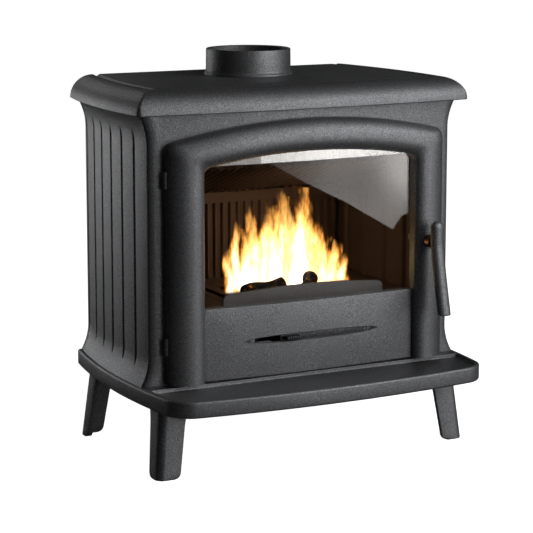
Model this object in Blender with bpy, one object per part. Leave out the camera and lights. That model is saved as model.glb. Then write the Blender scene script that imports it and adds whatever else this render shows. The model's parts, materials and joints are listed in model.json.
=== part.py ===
"""Wood burning stove: cast body on a bowed hearth tray, arched glass door, turning handle, air slide.

The front faces -Y and +Z is up. The origin is at floor level, in the middle of the overall box.
Depths on the front are measured forward from the front frame's face, before the front is bowed.
"""

import bmesh
import bpy
from math import atan2, cos, pi, radians, sin, sqrt
from mathutils import Matrix, Vector

GAP = 0.0003                      # play between pieces that touch

# Overall sizes
STOVE_WIDTH = 0.640               # across the widest part of the lid
STOVE_DEPTH = 0.471               # tray front to lid back
LEG_HEIGHT = 0.1205
TRAY_THICKNESS = 0.0282
BODY_HEIGHT = 0.4526
LID_THICKNESS = 0.0394
COLLAR_RISE = 0.046

# Lid
LID_WIDEST_Y = -0.0095
SIDE_RADIUS = 1.1                 # plan radius of the bowed body sides
LID_FRONT_SETBACK = 0.105         # tray front to lid front
LID_FRONT_RADIUS = 3.3
LID_CORNER = 0.010
LID_ROUND = 0.042                 # width of the quarter-round edge
LID_GROOVE_INSET = 0.050
LID_GROOVE_HALF = 0.007
LID_GROOVE_DEPTH = 0.004
LID_RIM = 0.038
LID_SKIN = 0.012
LID_BACK_WALL = 0.014

# Body
LID_OVERHANG = 0.0275
FLARE = 0.014
FLARE_HEIGHT = 0.048
SIDE_THICKNESS = 0.008
SIDE_GROOVES = 5
SIDE_GROOVE_ENDS = 1.015          # groove spacings left beside the outer grooves
SIDE_GROOVE_SHIFT = 0.005
SIDE_GROOVE_HALF = 0.0035
SIDE_GROOVE_DEPTH = 0.004
SIDE_GROOVE_END = 0.030
SIDE_GROOVE_POINT = 0.011          # height over which a groove runs out
FLARE_STEP = 0.014
FLARE_PAST = 0.008
BACK_INSET = 0.0117               # lid back to back panel's outer face
BACK_THICKNESS = 0.008
BACK_FIELD_INSET = 0.040
BACK_FIELD_DEPTH = 0.003
FRAME_THICKNESS = 0.009
FRAME_CORNER_X = 0.022
FRAME_CORNER_Y = 0.009
APRON = 0.122                     # tray front to the frame's face
FRONT_RADIUS = 2.27               # plan radius of the bowed front
BOW_PAST_DOOR = 0.005             # the bow ends this far past the door
FRAME_BORDER = 0.0245             # frame edge to door edge

# Tray
TRAY_TUCK = 0.0090                # lid edge to tray edge at the widest place
TRAY_FRONT_RADIUS = 1.95
TRAY_SIDE_RADIUS = 1.25
TRAY_CORNER = 0.034
TRAY_RIM = 0.009
TRAY_POCKET = 0.006
TRAY_EDGE = 0.003
TRAY_SKIN = 0.009
TRAY_FOOT_RIM = 0.030             # solid edge left round the hollow underside
TRAY_PAST_BODY = 0.0017
STOP_SHARE = 0.28                 # of the tray's half width
STOP_FROM_FRONT = 0.035
STOP_RADIUS = 0.004
STOP_TIP = 0.003
STOP_LENGTH = 0.008

# Legs
LEG_TOP_WIDTH = 0.047
LEG_FOOT_WIDTH = 0.041
LEG_FLARE = 0.006
LEG_DEPTH_RATIO = 0.88
LEG_WALL = 0.009
LEG_CORNER = 0.014
LEG_SPLAY = 0.012
LEG_INSET_X = 0.0225              # lid edge to the foot's outer corner
LEG_FRONT_INSET = 0.094
LEG_BACK_INSET = 0.035
LEG_PAD = 0.008
BOLT_RADIUS = 0.004
BOLT_HEAD = 0.0065
BOLT_HEAD_HEIGHT = 0.005
BOLT_PLAY = 0.0004
BOLT_CLEARANCE = 0.008
BOLT_IN_TRAY = 0.009
DRILL_DEPTH = 0.0104
BEYOND = 0.01                     # how far a cutter runs past the body it cuts

# Door
DOOR_FLOOR_GAP = 0.0043
DOOR_HEIGHT = BODY_HEIGHT - 0.0196
DOOR_ARCH_RADIUS = 1.08
DOOR_CORNER = 0.017
DOOR_STANDOFF = 0.003
DOOR_EDGE = 0.006
BEAD_RISE = 0.025
BEAD_CREST = 0.58                # share of the bead's width from its outer edge
BEAD_FALL = 0.017                 # crest down to the inner edge
BEAD_STEPS = 5
BEAD_SIDE = 0.062
BEAD_TOP = 0.054
DOOR_LAP = 0.025                  # how far the door covers the frame
DOOR_SILL = 0.015
LOWER_PANEL_HEIGHT = 0.123
WINDOW_CORNER = 0.014
RAIL_THICKNESS = 0.004
RAIL_LAP = 0.010
PANEL_THICKNESS = 0.0065
PANEL_SIDE_GAP = 0.0006
GASKET_INSET = 0.007
GASKET_WIDTH = 0.012
GASKET_RISE = 0.0015
GLASS_LAP = 0.009
GLASS_THICKNESS = 0.004
CLIP_WIDTH = 0.024
CLIP_HEIGHT = 0.010
CLIP_THICKNESS = 0.002
CLIP_LAP = 0.006                  # how far a clip covers the glass
CLIP_LOW = 0.030
CLIP_HIGH = 0.070

# Air slide
SLOT_RISE = 0.062                 # door bottom to slot middle
SLOT_HALF = 0.110
SLOT_TIP = SLOT_HALF + 0.021
SLOT_HALF_HEIGHT = 0.0070
SLOT_BEVEL_DEPTH = 0.0018
SLIDER_REST_GAP = 0.007           # slot end to slider end at rest
SLOT_LEFT_OPEN = 0.050            # slot left open beside the slider at rest
SLIDER_LENGTH = 2 * SLOT_HALF - SLIDER_REST_GAP - SLOT_LEFT_OPEN
SLIDER_THICKNESS = 0.0025
SLIDER_HALF_HEIGHT = 0.008
SLIDER_PLAY = 0.0005
SLIDER_DEPTH = 0.0065             # frame face at the middle to the slider's straight back face
KNOB_LENGTH = 0.028
KNOB_REACH = 0.009
KNOB_FROM_END = 0.006
KNOB_HALF_HEIGHT = 0.003
VENT_INSET = 0.004
VENT_HALF_HEIGHT = 0.006
ROOM_PAST_SLOT = 0.005
OPENING_INSET = 0.001
LENS_STEPS = 16
LENS_BLUNTNESS = 0.6

# Handle
HANDLE_INSET = 0.040
HANDLE_RISE = DOOR_HEIGHT * 0.4815
SHAFT_RADIUS = 0.0115
SPINDLE_RADIUS = 0.006
SPINDLE_PLAY = 0.0006
SPINDLE_PAST_CAM = 0.010
FIT_PLAY = 0.0002                 # spindle to cam and nut
SHAFT_REACH = 0.016
LEVER_ABOVE = 0.038
LEVER_BELOW = 0.124
LEVER_WIDTH = 0.023
LEVER_THICKNESS = 0.019
LEVER_SWEEP = 0.021               # how far the lower end stands further out
LEVER_SHIFT = 0.004
LEVER_SIDES = 12
CAM_REACH = 0.0125                # stops short of the frame's opening
CAM_WIDTH = 0.014
CAM_THICKNESS = 0.006
CAM_PLAY = 0.001
CAM_HUB = 0.0105
CAM_TIP_SHARE = 0.7
NUT_RADIUS = 0.0095
NUT_THICKNESS = 0.006

# Hinges
HINGE_PIN_RADIUS = 0.003
HINGE_EYE_RADIUS = 0.0055
HINGE_PLAY = 0.0002
HINGE_EYE_HEIGHT = 0.018
HINGE_LUG_HEIGHT = 0.010
HINGE_DEPTH = 0.0045
HINGE_INSET = 0.001
HINGE_ROOM = 0.0007               # door to eye
HINGE_ARM_GAP = 0.0005
ARCH_DROP = 0.035                 # arch apex to the door's upper corners
HINGE_FROM_END = 0.060

# Firebox
LINER_INSET = 0.048
LINER_THICKNESS = 0.012
LINER_FRONT_GAP = 0.0017          # spindle end to liner front
LINER_RIB = 0.006
LINER_RIB_PITCH = 0.022
LINER_BACK_GAP = 0.012
HEARTH_DROP = 0.014               # window bottom to hearth top
HEARTH_THICKNESS = 0.012
HEARTH_FRONT_GAP = 0.002
RAIL_SIZE = 0.020
RAIL_UNDER_HEARTH = 0.005
RAIL_SIDE_GAP = 0.002
RAIL_WALL = 0.004
RAIL_FRONT_GAP = 0.024
RAIL_BACK_GAP = 0.026
GRATE_SLOTS = 7
GRATE_SIDE_GAP = 0.1245
GRATE_SHARE = 0.4573              # of the liners' depth
GRATE_LIP = 0.006
GRATE_PLAY = 0.001
GRATE_SLOT_SHARE = 0.44           # of the slot pitch
GRATE_BORDER = 0.010
LINER_HEAD_ROOM = 0.0695          # body top to liner top
LINER_CORNER_GAP = 0.002
BACK_LINER_THICKNESS = 0.010
BAFFLE_THICKNESS = 0.010
BAFFLE_TILT = radians(20.0)
BAFFLE_REST = 0.012
BAFFLE_DROP = 0.110               # liner top to the baffle's back edge
BAFFLE_SHARE = 0.668              # of the liners' depth
BAFFLE_BACK_GAP = 0.003
BAFFLE_SIDE_GAP = 0.001
BAFFLE_START = 0.004
BAFFLE_REST_START = 0.010
GUARD_THICKNESS = 0.006
GUARD_RISE = 0.037
GUARD_GAP = 0.004
GUARD_ARCH_RADIUS = 1.4
GUARD_SIDE_GAP = 0.0474
GUARD_CORNER = 0.010
ROD_RADIUS = 0.004
ROD_NUT = 0.0075
ROD_NUT_HEIGHT = 0.006
ROD_SIDE_GAP = 0.003
ROD_FROM_FRONT = 0.018
ROD_FROM_BACK = 0.014

# Ash compartment
SHELF_RISE = 0.019
SHELF_THICKNESS = 0.004
PAN_HEIGHT = 0.056
PAN_WALL = 0.002
PAN_SIDE_GAP = 0.020
PAN_FRONT_GAP = 0.004
PAN_BACK_GAP = 0.010
PAN_GRIP = 0.030
GRIP_REACH = 0.014
GRIP_HEIGHT = 0.012
GRIP_WALL = 0.003
GRIP_SHARE = 0.6                  # of the pan's height
SHELF_WALL = 0.004
SHELF_SIDE_GAP = 0.0645
SHELF_FRONT_GAP = 0.030
SHELF_BACK_GAP = 0.020

# Flue collar
COLLAR_RADIUS = 0.075
COLLAR_WALL = 0.004
COLLAR_FLANGE = COLLAR_RADIUS + 0.0038
COLLAR_FLANGE_HEIGHT = 0.003
COLLAR_FROM_BACK = 0.119
COLLAR_FILLET = 0.001
CLAMP_LAP = 0.010                 # how far a clamp reaches into the flue
CLAMP_REACH = 0.018               # how far a clamp reaches under the lid
CLAMP_HALF = 0.008
CLAMP_THICKNESS = 0.005

# Levels
TRAY_TOP = LEG_HEIGHT + TRAY_THICKNESS
BODY_BOTTOM = TRAY_TOP + GAP
BODY_TOP = BODY_BOTTOM + BODY_HEIGHT
LID_BOTTOM = BODY_TOP + GAP
LID_TOP = LID_BOTTOM + LID_THICKNESS
COLLAR_TOP = LID_TOP + COLLAR_RISE
DOOR_BOTTOM = TRAY_TOP + DOOR_FLOOR_GAP
DOOR_APEX = DOOR_BOTTOM + DOOR_HEIGHT
WINDOW_BOTTOM = DOOR_BOTTOM + LOWER_PANEL_HEIGHT
WINDOW_APEX = DOOR_APEX - BEAD_TOP
HEARTH_TOP = WINDOW_BOTTOM - HEARTH_DROP
HEARTH_BOTTOM = HEARTH_TOP - HEARTH_THICKNESS
SHELF_TOP = TRAY_TOP + SHELF_RISE
SLOT_Z = DOOR_BOTTOM + SLOT_RISE
HANDLE_Z = DOOR_BOTTOM + HANDLE_RISE

# Places along Y
TRAY_FRONT = -STOVE_DEPTH / 2
LID_BACK = STOVE_DEPTH / 2
FRONT_Y = TRAY_FRONT + APRON
LID_FRONT = TRAY_FRONT + LID_FRONT_SETBACK
BACK_OUT = LID_BACK - BACK_INSET
BACK_IN = BACK_OUT - BACK_THICKNESS
COLLAR_Y = LID_BACK - COLLAR_FROM_BACK

# Half widths
LID_HALF = STOVE_WIDTH / 2
TRAY_HALF = LID_HALF - TRAY_TUCK
BODY_HALF = LID_HALF - LID_OVERHANG
LINER_OUT = BODY_HALF - LINER_INSET
LINER_IN = LINER_OUT - LINER_THICKNESS


def side_x(y, half, radius=SIDE_RADIUS):
    """Half width of a bowed side at depth y."""
    return half - (y - LID_WIDEST_Y) ** 2 / (2 * radius)


FRAME_HALF = side_x(FRONT_Y + FRAME_THICKNESS, BODY_HALF)
DOOR_HALF = FRAME_HALF - FRAME_BORDER
WINDOW_HALF = DOOR_HALF - BEAD_SIDE
GLASS_HALF = WINDOW_HALF + GLASS_LAP
BOW_END = DOOR_HALF + BOW_PAST_DOOR
GUARD_HALF = WINDOW_HALF - GUARD_SIDE_GAP
SHELF_HALF = LINER_IN - SHELF_SIDE_GAP
PAN_HALF = SHELF_HALF - PAN_SIDE_GAP
GRATE_HALF = LINER_IN - GRATE_SIDE_GAP


def bow(x):
    """How far back the bowed front lies at x; the ends past the door stay straight."""
    return min(abs(x), BOW_END) ** 2 / (2 * FRONT_RADIUS)


SIDE_FRONT = FRONT_Y + FRAME_THICKNESS + bow(FRAME_HALF) + GAP
SIDE_BACK = BACK_IN - GAP
HANDLE_X = DOOR_HALF - HANDLE_INSET
CAM_FRONT = FRONT_Y + bow(HANDLE_X + CAM_REACH) + FRAME_THICKNESS + CAM_PLAY
CAM_BACK = CAM_FRONT + CAM_THICKNESS
LINER_FRONT = CAM_BACK + SPINDLE_PAST_CAM + LINER_FRONT_GAP
LINER_BACK = BACK_IN - LINER_BACK_GAP
LINER_HEIGHT = BODY_TOP - HEARTH_TOP - LINER_HEAD_ROOM
GRATE_DEPTH = (LINER_BACK - LINER_FRONT) * GRATE_SHARE
BAFFLE_BACK_RISE = LINER_HEIGHT - BAFFLE_DROP
BAFFLE_LENGTH = (LINER_BACK - LINER_FRONT) * BAFFLE_SHARE
HINGE_X = -(DOOR_HALF - HINGE_INSET)
HINGE_Y = FRONT_Y + bow(DOOR_HALF) - DOOR_STANDOFF - HINGE_DEPTH
SLIDER_RIGHT = SLOT_HALF - SLIDER_REST_GAP
SLIDER_LEFT = SLIDER_RIGHT - SLIDER_LENGTH
KNOB_X = SLIDER_LEFT + KNOB_LENGTH / 2 + KNOB_FROM_END


def flare(z):
    """How far a body side stands out at height z, towards the lid and the tray."""
    top = max(0.0, (z - (BODY_TOP - FLARE_HEIGHT)) / FLARE_HEIGHT)
    low = max(0.0, (BODY_BOTTOM + FLARE_HEIGHT - z) / FLARE_HEIGHT)
    return FLARE * max(top, low) ** 2


# ---------------------------------------------------------------- mesh helpers

def skin(rings, closed_path=False):
    """Skins rings[j][i]: j runs around the section, i along the path."""
    mesh = bmesh.new()
    verts = [[mesh.verts.new(p) for p in ring] for ring in rings]
    around = len(rings)
    along = len(rings[0])
    for j in range(around):
        here = verts[j]
        there = verts[(j + 1) % around]
        for i in range(along if closed_path else along - 1):
            k = (i + 1) % along
            mesh.faces.new((here[i], here[k], there[k], there[i]))
    if not closed_path:
        mesh.faces.new([ring[0] for ring in verts])
        mesh.faces.new([ring[-1] for ring in reversed(verts)])
    bmesh.ops.recalc_face_normals(mesh, faces=mesh.faces)
    return mesh


def loft(levels):
    """A closed body through outlines that have the same number of 3D points."""
    return skin([[level[j] for level in levels] for j in range(len(levels[0]))])


def plan(points, z):
    return [(x, y, z) for x, y in points]


def box(x0, x1, y0, y1, z0, z1):
    corners = [(x0, y0), (x1, y0), (x1, y1), (x0, y1)]
    return loft([plan(corners, z0), plan(corners, z1)])


def front_plate(outline, near, far):
    """An outline of (x, z) made solid between two forward depths from the frame's face."""
    return loft([[(x, FRONT_Y - d, z) for x, z in outline] for d in (near, far)])


def round_bar(start, axis, profile, segments=24):
    """A turned body: profile is a list of (distance along axis, radius)."""
    along = Vector(axis).normalized()
    turn = along.to_track_quat("Z", "Y").to_matrix()
    ring = []
    for height, radius in profile:
        level = []
        for k in range(segments):
            angle = 2 * pi * (k + 0.5) / segments
            local = Vector((radius * cos(angle), radius * sin(angle), height))
            level.append(tuple(Vector(start) + turn @ local))
        ring.append(level)
    return loft(ring)


def rod(start, axis, length, radius, segments=24):
    return round_bar(start, axis, [(0, radius), (length, radius)], segments)


def turned_ring(centre, profile, segments=32):
    """A ring turned about a vertical axis from a closed profile of (radius, z)."""
    rings = []
    for radius, z in profile:
        ring = []
        for k in range(segments):
            angle = 2 * pi * k / segments
            ring.append((centre[0] + radius * cos(angle), centre[1] + radius * sin(angle), z))
        rings.append(ring)
    return skin(rings, closed_path=True)


def temp_object(mesh):
    data = bpy.data.meshes.new("work")
    mesh.to_mesh(data)
    mesh.free()
    work = bpy.data.objects.new("work", data)
    bpy.context.collection.objects.link(work)
    return work


def combine(first, second, operation):
    """Joins or cuts two bodies with an exact Boolean."""
    body = temp_object(first)
    tool = temp_object(second)
    step = body.modifiers.new("combine", "BOOLEAN")
    step.operation = operation
    step.solver = "EXACT"
    step.object = tool
    graph = bpy.context.evaluated_depsgraph_get()
    result = bmesh.new()
    result.from_mesh(body.evaluated_get(graph).to_mesh())
    bpy.data.objects.remove(body)
    bpy.data.objects.remove(tool)
    bmesh.ops.remove_doubles(result, verts=result.verts, dist=0.000002)
    return result


def cut(body, tool):
    return combine(body, tool, "DIFFERENCE")


def join(body, tool):
    return combine(body, tool, "UNION")


def bend_front(mesh, step=0.024):
    """Splits a flat front piece into strips and bows it."""
    reach = int(BOW_END / step) + 1
    for k in range(-reach, reach + 1):
        x = max(-BOW_END, min(BOW_END, k * step))
        whole = mesh.verts[:] + mesh.edges[:] + mesh.faces[:]
        bmesh.ops.bisect_plane(mesh, geom=whole, plane_co=(x, 0, 0), plane_no=(1, 0, 0), dist=0.00001)
    for vert in mesh.verts:
        vert.co.y += bow(vert.co.x)
    return mesh


def material(name, colour, roughness, metallic, alpha=1.0):
    made = bpy.data.materials.new(name)
    made.use_nodes = True
    shader = made.node_tree.nodes["Principled BSDF"]
    shader.inputs["Base Color"].default_value = (*colour, 1.0)
    shader.inputs["Roughness"].default_value = roughness
    shader.inputs["Metallic"].default_value = metallic
    shader.inputs["Alpha"].default_value = alpha
    return made


FINISHES = {
    "iron": ((0.055, 0.057, 0.060), 0.62, 0.35),
    "liner": ((0.130, 0.075, 0.045), 0.80, 0.10),
    "steel": ((0.300, 0.300, 0.310), 0.40, 0.90),
    "sheet": ((0.120, 0.120, 0.125), 0.50, 0.70),
    "rope": ((0.110, 0.110, 0.105), 0.95, 0.00),
    "glass": ((0.420, 0.340, 0.260), 0.05, 0.00),
}


def add(name, mesh, finish, origin=(0.0, 0.0, 0.0), smooth=True):
    """Makes the named object with its own material and its origin where it turns."""
    data = bpy.data.meshes.new(name)
    mesh.transform(Matrix.Translation(-Vector(origin)))
    mesh.to_mesh(data)
    mesh.free()
    piece = bpy.data.objects.new(name, data)
    piece.location = origin
    bpy.context.collection.objects.link(piece)
    colour, roughness, metallic = FINISHES[finish]
    data.materials.append(material(name, colour, roughness, metallic, 0.35 if finish == "glass" else 1.0))
    if smooth:
        data.shade_smooth()
        data.set_sharp_from_angle(angle=radians(35.0))
    return piece


def round_between(start, corner, end, steps=4):
    """A round corner from start to end, as a conic pulled towards the corner."""
    points = []
    weight = sqrt(0.5)
    for k in range(steps + 1):
        t = k / steps
        a = (1 - t) ** 2
        b = 2 * t * (1 - t) * weight
        c = t ** 2
        total = a + b + c
        points.append(tuple((a * p + b * q + c * r) / total for p, q, r in zip(start, corner, end)))
    return points


def bowed_plan(half, side_radius, front, front_radius, back, corner, inset=0.0, sides=6, fronts=12):
    """Plan outline from back left round the front to back right, set in by inset."""
    def side(y):
        return side_x(y, half - inset, side_radius)

    def face(x):
        return front + inset + x * x / (2 * front_radius)

    meet = half - inset
    for _ in range(20):
        meet = side(face(meet))
    radius = max(corner - inset, 0.003)
    low = face(meet) + radius
    edge = meet - radius
    left = []
    for k in range(sides):
        y = back + (low - back) * k / sides
        left.append((-side(y), y))
    bend = round_between((-side(low), low), (-meet, face(meet)), (-edge, face(edge)))
    middle = []
    for k in range(1, fronts):
        x = -edge + 2 * edge * k / fronts
        middle.append((x, face(x)))
    half_way = left + bend
    return half_way + middle + [(-x, y) for x, y in reversed(half_way)]


def arch(half, bottom, apex, radius, corner, curve=4, span=10):
    """Points (x, z) from bottom left up over a rounded arch to bottom right."""
    centre = apex - radius
    bend_x = half - corner
    bend_z = centre + sqrt((radius - corner) ** 2 - bend_x ** 2)
    meet = atan2(bend_z - centre, -bend_x)
    points = [(-half, bottom)]
    for k in range(curve + 1):
        angle = pi + (meet - pi) * k / curve
        points.append((-bend_x + corner * cos(angle), bend_z + corner * sin(angle)))
    for k in range(1, span):
        angle = meet + (pi / 2 - meet) * 2 * k / span
        points.append((radius * cos(angle), centre + radius * sin(angle)))
    ends = [(-x, z) for x, z in reversed(points[:curve + 2])]
    return points + ends


def door_outline(inset=0.0, bottom=DOOR_BOTTOM):
    corner = max(DOOR_CORNER - inset * 0.4, 0.006)
    return arch(DOOR_HALF - inset, bottom, DOOR_APEX - inset, DOOR_ARCH_RADIUS - inset, corner)


def window_outline(outset=0.0, bottom=WINDOW_BOTTOM):
    radius = DOOR_ARCH_RADIUS - BEAD_TOP + outset
    return arch(WINDOW_HALF + outset, bottom, WINDOW_APEX + outset, radius, WINDOW_CORNER)


# ---------------------------------------------------------------- body castings

def tray_plan(inset=0.0, back=BACK_OUT + TRAY_PAST_BODY):
    return bowed_plan(TRAY_HALF, TRAY_SIDE_RADIUS, TRAY_FRONT, TRAY_FRONT_RADIUS, back, TRAY_CORNER, inset)


def leg_corner(front, foot=1.0):
    """The outer corner of a right-hand leg, at the foot or, with foot 0, under the tray."""
    x = LID_HALF - LEG_INSET_X - LEG_SPLAY * (1 - foot)
    if front:
        return x, TRAY_FRONT + LEG_FRONT_INSET + LEG_SPLAY * (1 - foot)
    return x, LID_BACK - LEG_BACK_INSET - LEG_SPLAY * (1 - foot)


def leg_bolt_place(front):
    x, y = leg_corner(front, 0.0)
    inward = LEG_WALL + BOLT_HEAD + BOLT_CLEARANCE
    return x - inward, y + inward if front else y - inward


def hearth_tray():
    edge = TRAY_EDGE
    levels = [plan(tray_plan(edge), LEG_HEIGHT), plan(tray_plan(), LEG_HEIGHT + edge),
              plan(tray_plan(), TRAY_TOP - edge), plan(tray_plan(edge), TRAY_TOP)]
    tray = loft(levels)
    pocket_back = FRONT_Y - DOOR_STANDOFF
    pocket = tray_plan(TRAY_RIM, pocket_back)
    floor = TRAY_TOP - TRAY_POCKET
    tray = cut(tray, loft([plan(pocket, floor), plan(pocket, TRAY_TOP + BEYOND)]))
    under = LEG_HEIGHT + TRAY_THICKNESS - TRAY_POCKET - TRAY_SKIN
    reach = leg_corner(True, 0.0)[0] - LEG_TOP_WIDTH - LEG_FLARE - TRAY_FOOT_RIM / 3
    near = TRAY_FRONT + 2 * TRAY_FOOT_RIM
    tray = cut(tray, box(-reach, reach, near, BACK_OUT - TRAY_FOOT_RIM, LEG_HEIGHT - BEYOND, under))
    for front in (True, False):
        for side in (-1, 1):
            x, y = leg_bolt_place(front)
            start = (side * x, y, LEG_HEIGHT - BEYOND)
            drill = rod(start, (0, 0, 1), BEYOND + DRILL_DEPTH, BOLT_RADIUS + BOLT_PLAY, 10)
            tray = cut(tray, drill)
    add("hearth_tray", tray, "iron")


def leg_section(x, y, width, inward_y):
    """L-shaped plan with its rounded outer corner at x, y; flanges run inward."""
    deep = width * LEG_DEPTH_RATIO
    up = inward_y
    outer = round_between((x - LEG_CORNER, y), (x, y), (x, y + up * LEG_CORNER), 3)
    points = [(x - width, y)] + outer + [(x, y + up * deep)]
    points += [(x - LEG_WALL, y + up * deep), (x - LEG_WALL, y + up * LEG_WALL), (x - width, y + up * LEG_WALL)]
    return points


def leg(name, side, front):
    inward_y = 1 if front else -1
    levels = []
    for share in (0.0, 0.5, 0.75, 0.9, 1.0):
        z = (LEG_HEIGHT - GAP) * share
        width = LEG_FOOT_WIDTH + (LEG_TOP_WIDTH - LEG_FOOT_WIDTH) * share
        width += LEG_FLARE * max(0.0, (share - 0.7) / 0.3) ** 2
        x, y = leg_corner(front, 1 - share)
        levels.append(plan([(side * px, py) for px, py in leg_section(x, y, width, inward_y)], z))
    body = loft(levels)
    x, y = leg_corner(front, 0.0)
    far_x = x - LEG_TOP_WIDTH * 0.8
    far_y = y + inward_y * LEG_TOP_WIDTH * 0.7
    near_y = y + inward_y * LEG_WALL * 0.5
    top = LEG_HEIGHT - GAP
    xs = sorted((side * (x - LEG_WALL * 0.5), side * far_x))
    ys = sorted((near_y, far_y))
    body = join(body, box(xs[0], xs[1], ys[0], ys[1], top - LEG_PAD, top))
    bolt_x, bolt_y = leg_bolt_place(front)
    start = (side * bolt_x, bolt_y, top - LEG_PAD - BEYOND)
    add(name, cut(body, rod(start, (0, 0, 1), LEG_PAD + 2 * BEYOND, BOLT_RADIUS + BOLT_PLAY, 10)), "iron")


def hex_bolt(name, start, axis, length, head=BOLT_HEAD, shank=BOLT_RADIUS, height=BOLT_HEAD_HEIGHT):
    """A hexagon bolt whose head's face lies at start and whose shank runs along axis."""
    along = Vector(axis).normalized()
    base = Vector(start) - along * height
    bolt = round_bar(base, axis, [(0, head), (height, head)], 6)
    shank_start = Vector(start) - along * height / 2
    add(name, join(bolt, rod(shank_start, axis, height / 2 + length, shank, 10)), "steel")


def legs():
    for front, end in ((True, "front"), (False, "back")):
        for side, hand in ((-1, "left"), (1, "right")):
            leg("leg_%s_%s" % (end, hand), side, front)
            x, y = leg_bolt_place(front)
            under = LEG_HEIGHT - GAP - LEG_PAD - GAP
            hex_bolt("leg_bolt_%s_%s" % (end, hand), (side * x, y, under), (0, 0, 1), LEG_PAD + BOLT_IN_TRAY)


def tray_bolt():
    """The end of the bolt that shows below the tray's front rim."""
    start = (TRAY_HALF * STOP_SHARE, TRAY_FRONT + STOP_FROM_FRONT, LEG_HEIGHT - GAP - STOP_LENGTH)
    profile = [(0, STOP_TIP), (STOP_RADIUS - STOP_TIP, STOP_RADIUS), (STOP_LENGTH, STOP_RADIUS)]
    head = round_bar(start, (0, 0, 1), profile, 12)
    add("tray_stop", head, "steel")


def groove_places():
    """Groove middles along a side, from front to back."""
    spacing = (SIDE_BACK - SIDE_FRONT) / (SIDE_GROOVES + SIDE_GROOVE_ENDS)
    start = (SIDE_FRONT + SIDE_BACK) / 2 - SIDE_GROOVE_SHIFT - spacing * (SIDE_GROOVES - 1) / 2
    return [start + spacing * k for k in range(SIDE_GROOVES)]


def side_heights():
    low = [BODY_BOTTOM, BODY_BOTTOM + FLARE_STEP, BODY_BOTTOM + SIDE_GROOVE_END,
           BODY_BOTTOM + SIDE_GROOVE_END + SIDE_GROOVE_POINT, BODY_BOTTOM + FLARE_HEIGHT + FLARE_PAST]
    high = [BODY_BOTTOM + BODY_TOP - z for z in reversed(low)]
    return low + high


def side_panel(name, side):
    grooves = groove_places()
    ys = [SIDE_FRONT]
    for y in grooves:
        ys += [y - SIDE_GROOVE_HALF, y, y + SIDE_GROOVE_HALF]
    ys.append(SIDE_BACK)
    heights = side_heights()
    levels = []
    for k, z in enumerate(heights):
        full = 3 <= k < len(heights) - 3
        outer = []
        for y in ys:
            depth = SIDE_GROOVE_DEPTH if full and y in grooves else 0.0
            outer.append((side * (side_x(y, BODY_HALF) + flare(z) - depth), y))
        inner = [(side * (side_x(y, BODY_HALF) + flare(z) - SIDE_THICKNESS), y) for y in reversed(ys)]
        levels.append(plan(outer + inner, z))
    add(name, loft(levels), "iron")


def front_frame():
    """The casting round the door: flat first, then bowed; its ends flare with the sides."""
    back = FRONT_Y + FRAME_THICKNESS
    levels = []
    for z in side_heights():
        half = FRAME_HALF + flare(z)
        start = (half, back)
        curve = round_between(start, (half, back - FRAME_CORNER_Y), (half - FRAME_CORNER_X, FRONT_Y), 5)
        right = curve
        left = [(-x, y) for x, y in reversed(curve)]
        levels.append(plan(right + left, z))
    frame = loft(levels)
    sill = DOOR_BOTTOM + DOOR_SILL
    opening = door_outline(DOOR_LAP, sill)
    frame = cut(frame, front_plate(opening, -FRAME_THICKNESS - BEYOND, BEYOND))
    add("front_frame", bend_front(frame), "iron")


def back_panel():
    levels = []
    for z in side_heights():
        half = side_x(SIDE_BACK, BODY_HALF) + flare(z)
        levels.append(plan([(-half, BACK_IN), (half, BACK_IN), (half, BACK_OUT), (-half, BACK_OUT)], z))
    panel = loft(levels)
    half = side_x(SIDE_BACK, BODY_HALF) - BACK_FIELD_INSET
    field = box(-half, half, BACK_OUT - BACK_FIELD_DEPTH, BACK_OUT + BEYOND,
                BODY_BOTTOM + BACK_FIELD_INSET, BODY_TOP - BACK_FIELD_INSET)
    add("back_panel", cut(panel, field), "iron")


def lid_plan(inset=0.0, back=LID_BACK):
    return bowed_plan(LID_HALF, SIDE_RADIUS, LID_FRONT, LID_FRONT_RADIUS, back, LID_CORNER, inset)


def top_plate():
    levels = []
    for k in range(8):
        angle = pi / 2 * k / 7
        inset = LID_ROUND * (1 - cos(angle))
        levels.append(plan(lid_plan(inset), LID_BOTTOM + LID_THICKNESS * sin(angle)))
    lid = loft(levels)
    hollow = lid_plan(LID_RIM, LID_BACK - LID_BACK_WALL)
    lid = cut(lid, loft([plan(hollow, LID_BOTTOM - BEYOND), plan(hollow, LID_TOP - LID_SKIN)]))
    past = LID_BACK + BEYOND
    near = LID_GROOVE_INSET - LID_GROOVE_HALF
    far = LID_GROOVE_INSET + LID_GROOVE_HALF
    high = LID_TOP + LID_GROOVE_DEPTH / 4
    deep = LID_TOP - LID_GROOVE_DEPTH
    groove = skin([plan(lid_plan(near, past), high), plan(lid_plan(LID_GROOVE_INSET, past), deep),
                   plan(lid_plan(far, past), high)])
    lid = cut(lid, groove)
    bore = COLLAR_RADIUS - COLLAR_WALL
    hole = rod((0, COLLAR_Y, LID_BOTTOM - BEYOND), (0, 0, 1), LID_THICKNESS + 2 * BEYOND, bore, 32)
    add("top_plate", cut(lid, hole), "iron")


def flue_collar():
    low = LID_TOP + GAP
    outer = COLLAR_RADIUS
    inner = COLLAR_RADIUS - COLLAR_WALL
    profile = [(inner, low), (COLLAR_FLANGE, low), (COLLAR_FLANGE, low + COLLAR_FLANGE_HEIGHT),
               (outer + COLLAR_FILLET, low + COLLAR_FLANGE_HEIGHT + 2 * COLLAR_FILLET),
               (outer, COLLAR_TOP - COLLAR_FILLET), (outer - COLLAR_FILLET, COLLAR_TOP), (inner, COLLAR_TOP)]
    add("flue_collar", turned_ring((0, COLLAR_Y), profile, 40), "iron")


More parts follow.
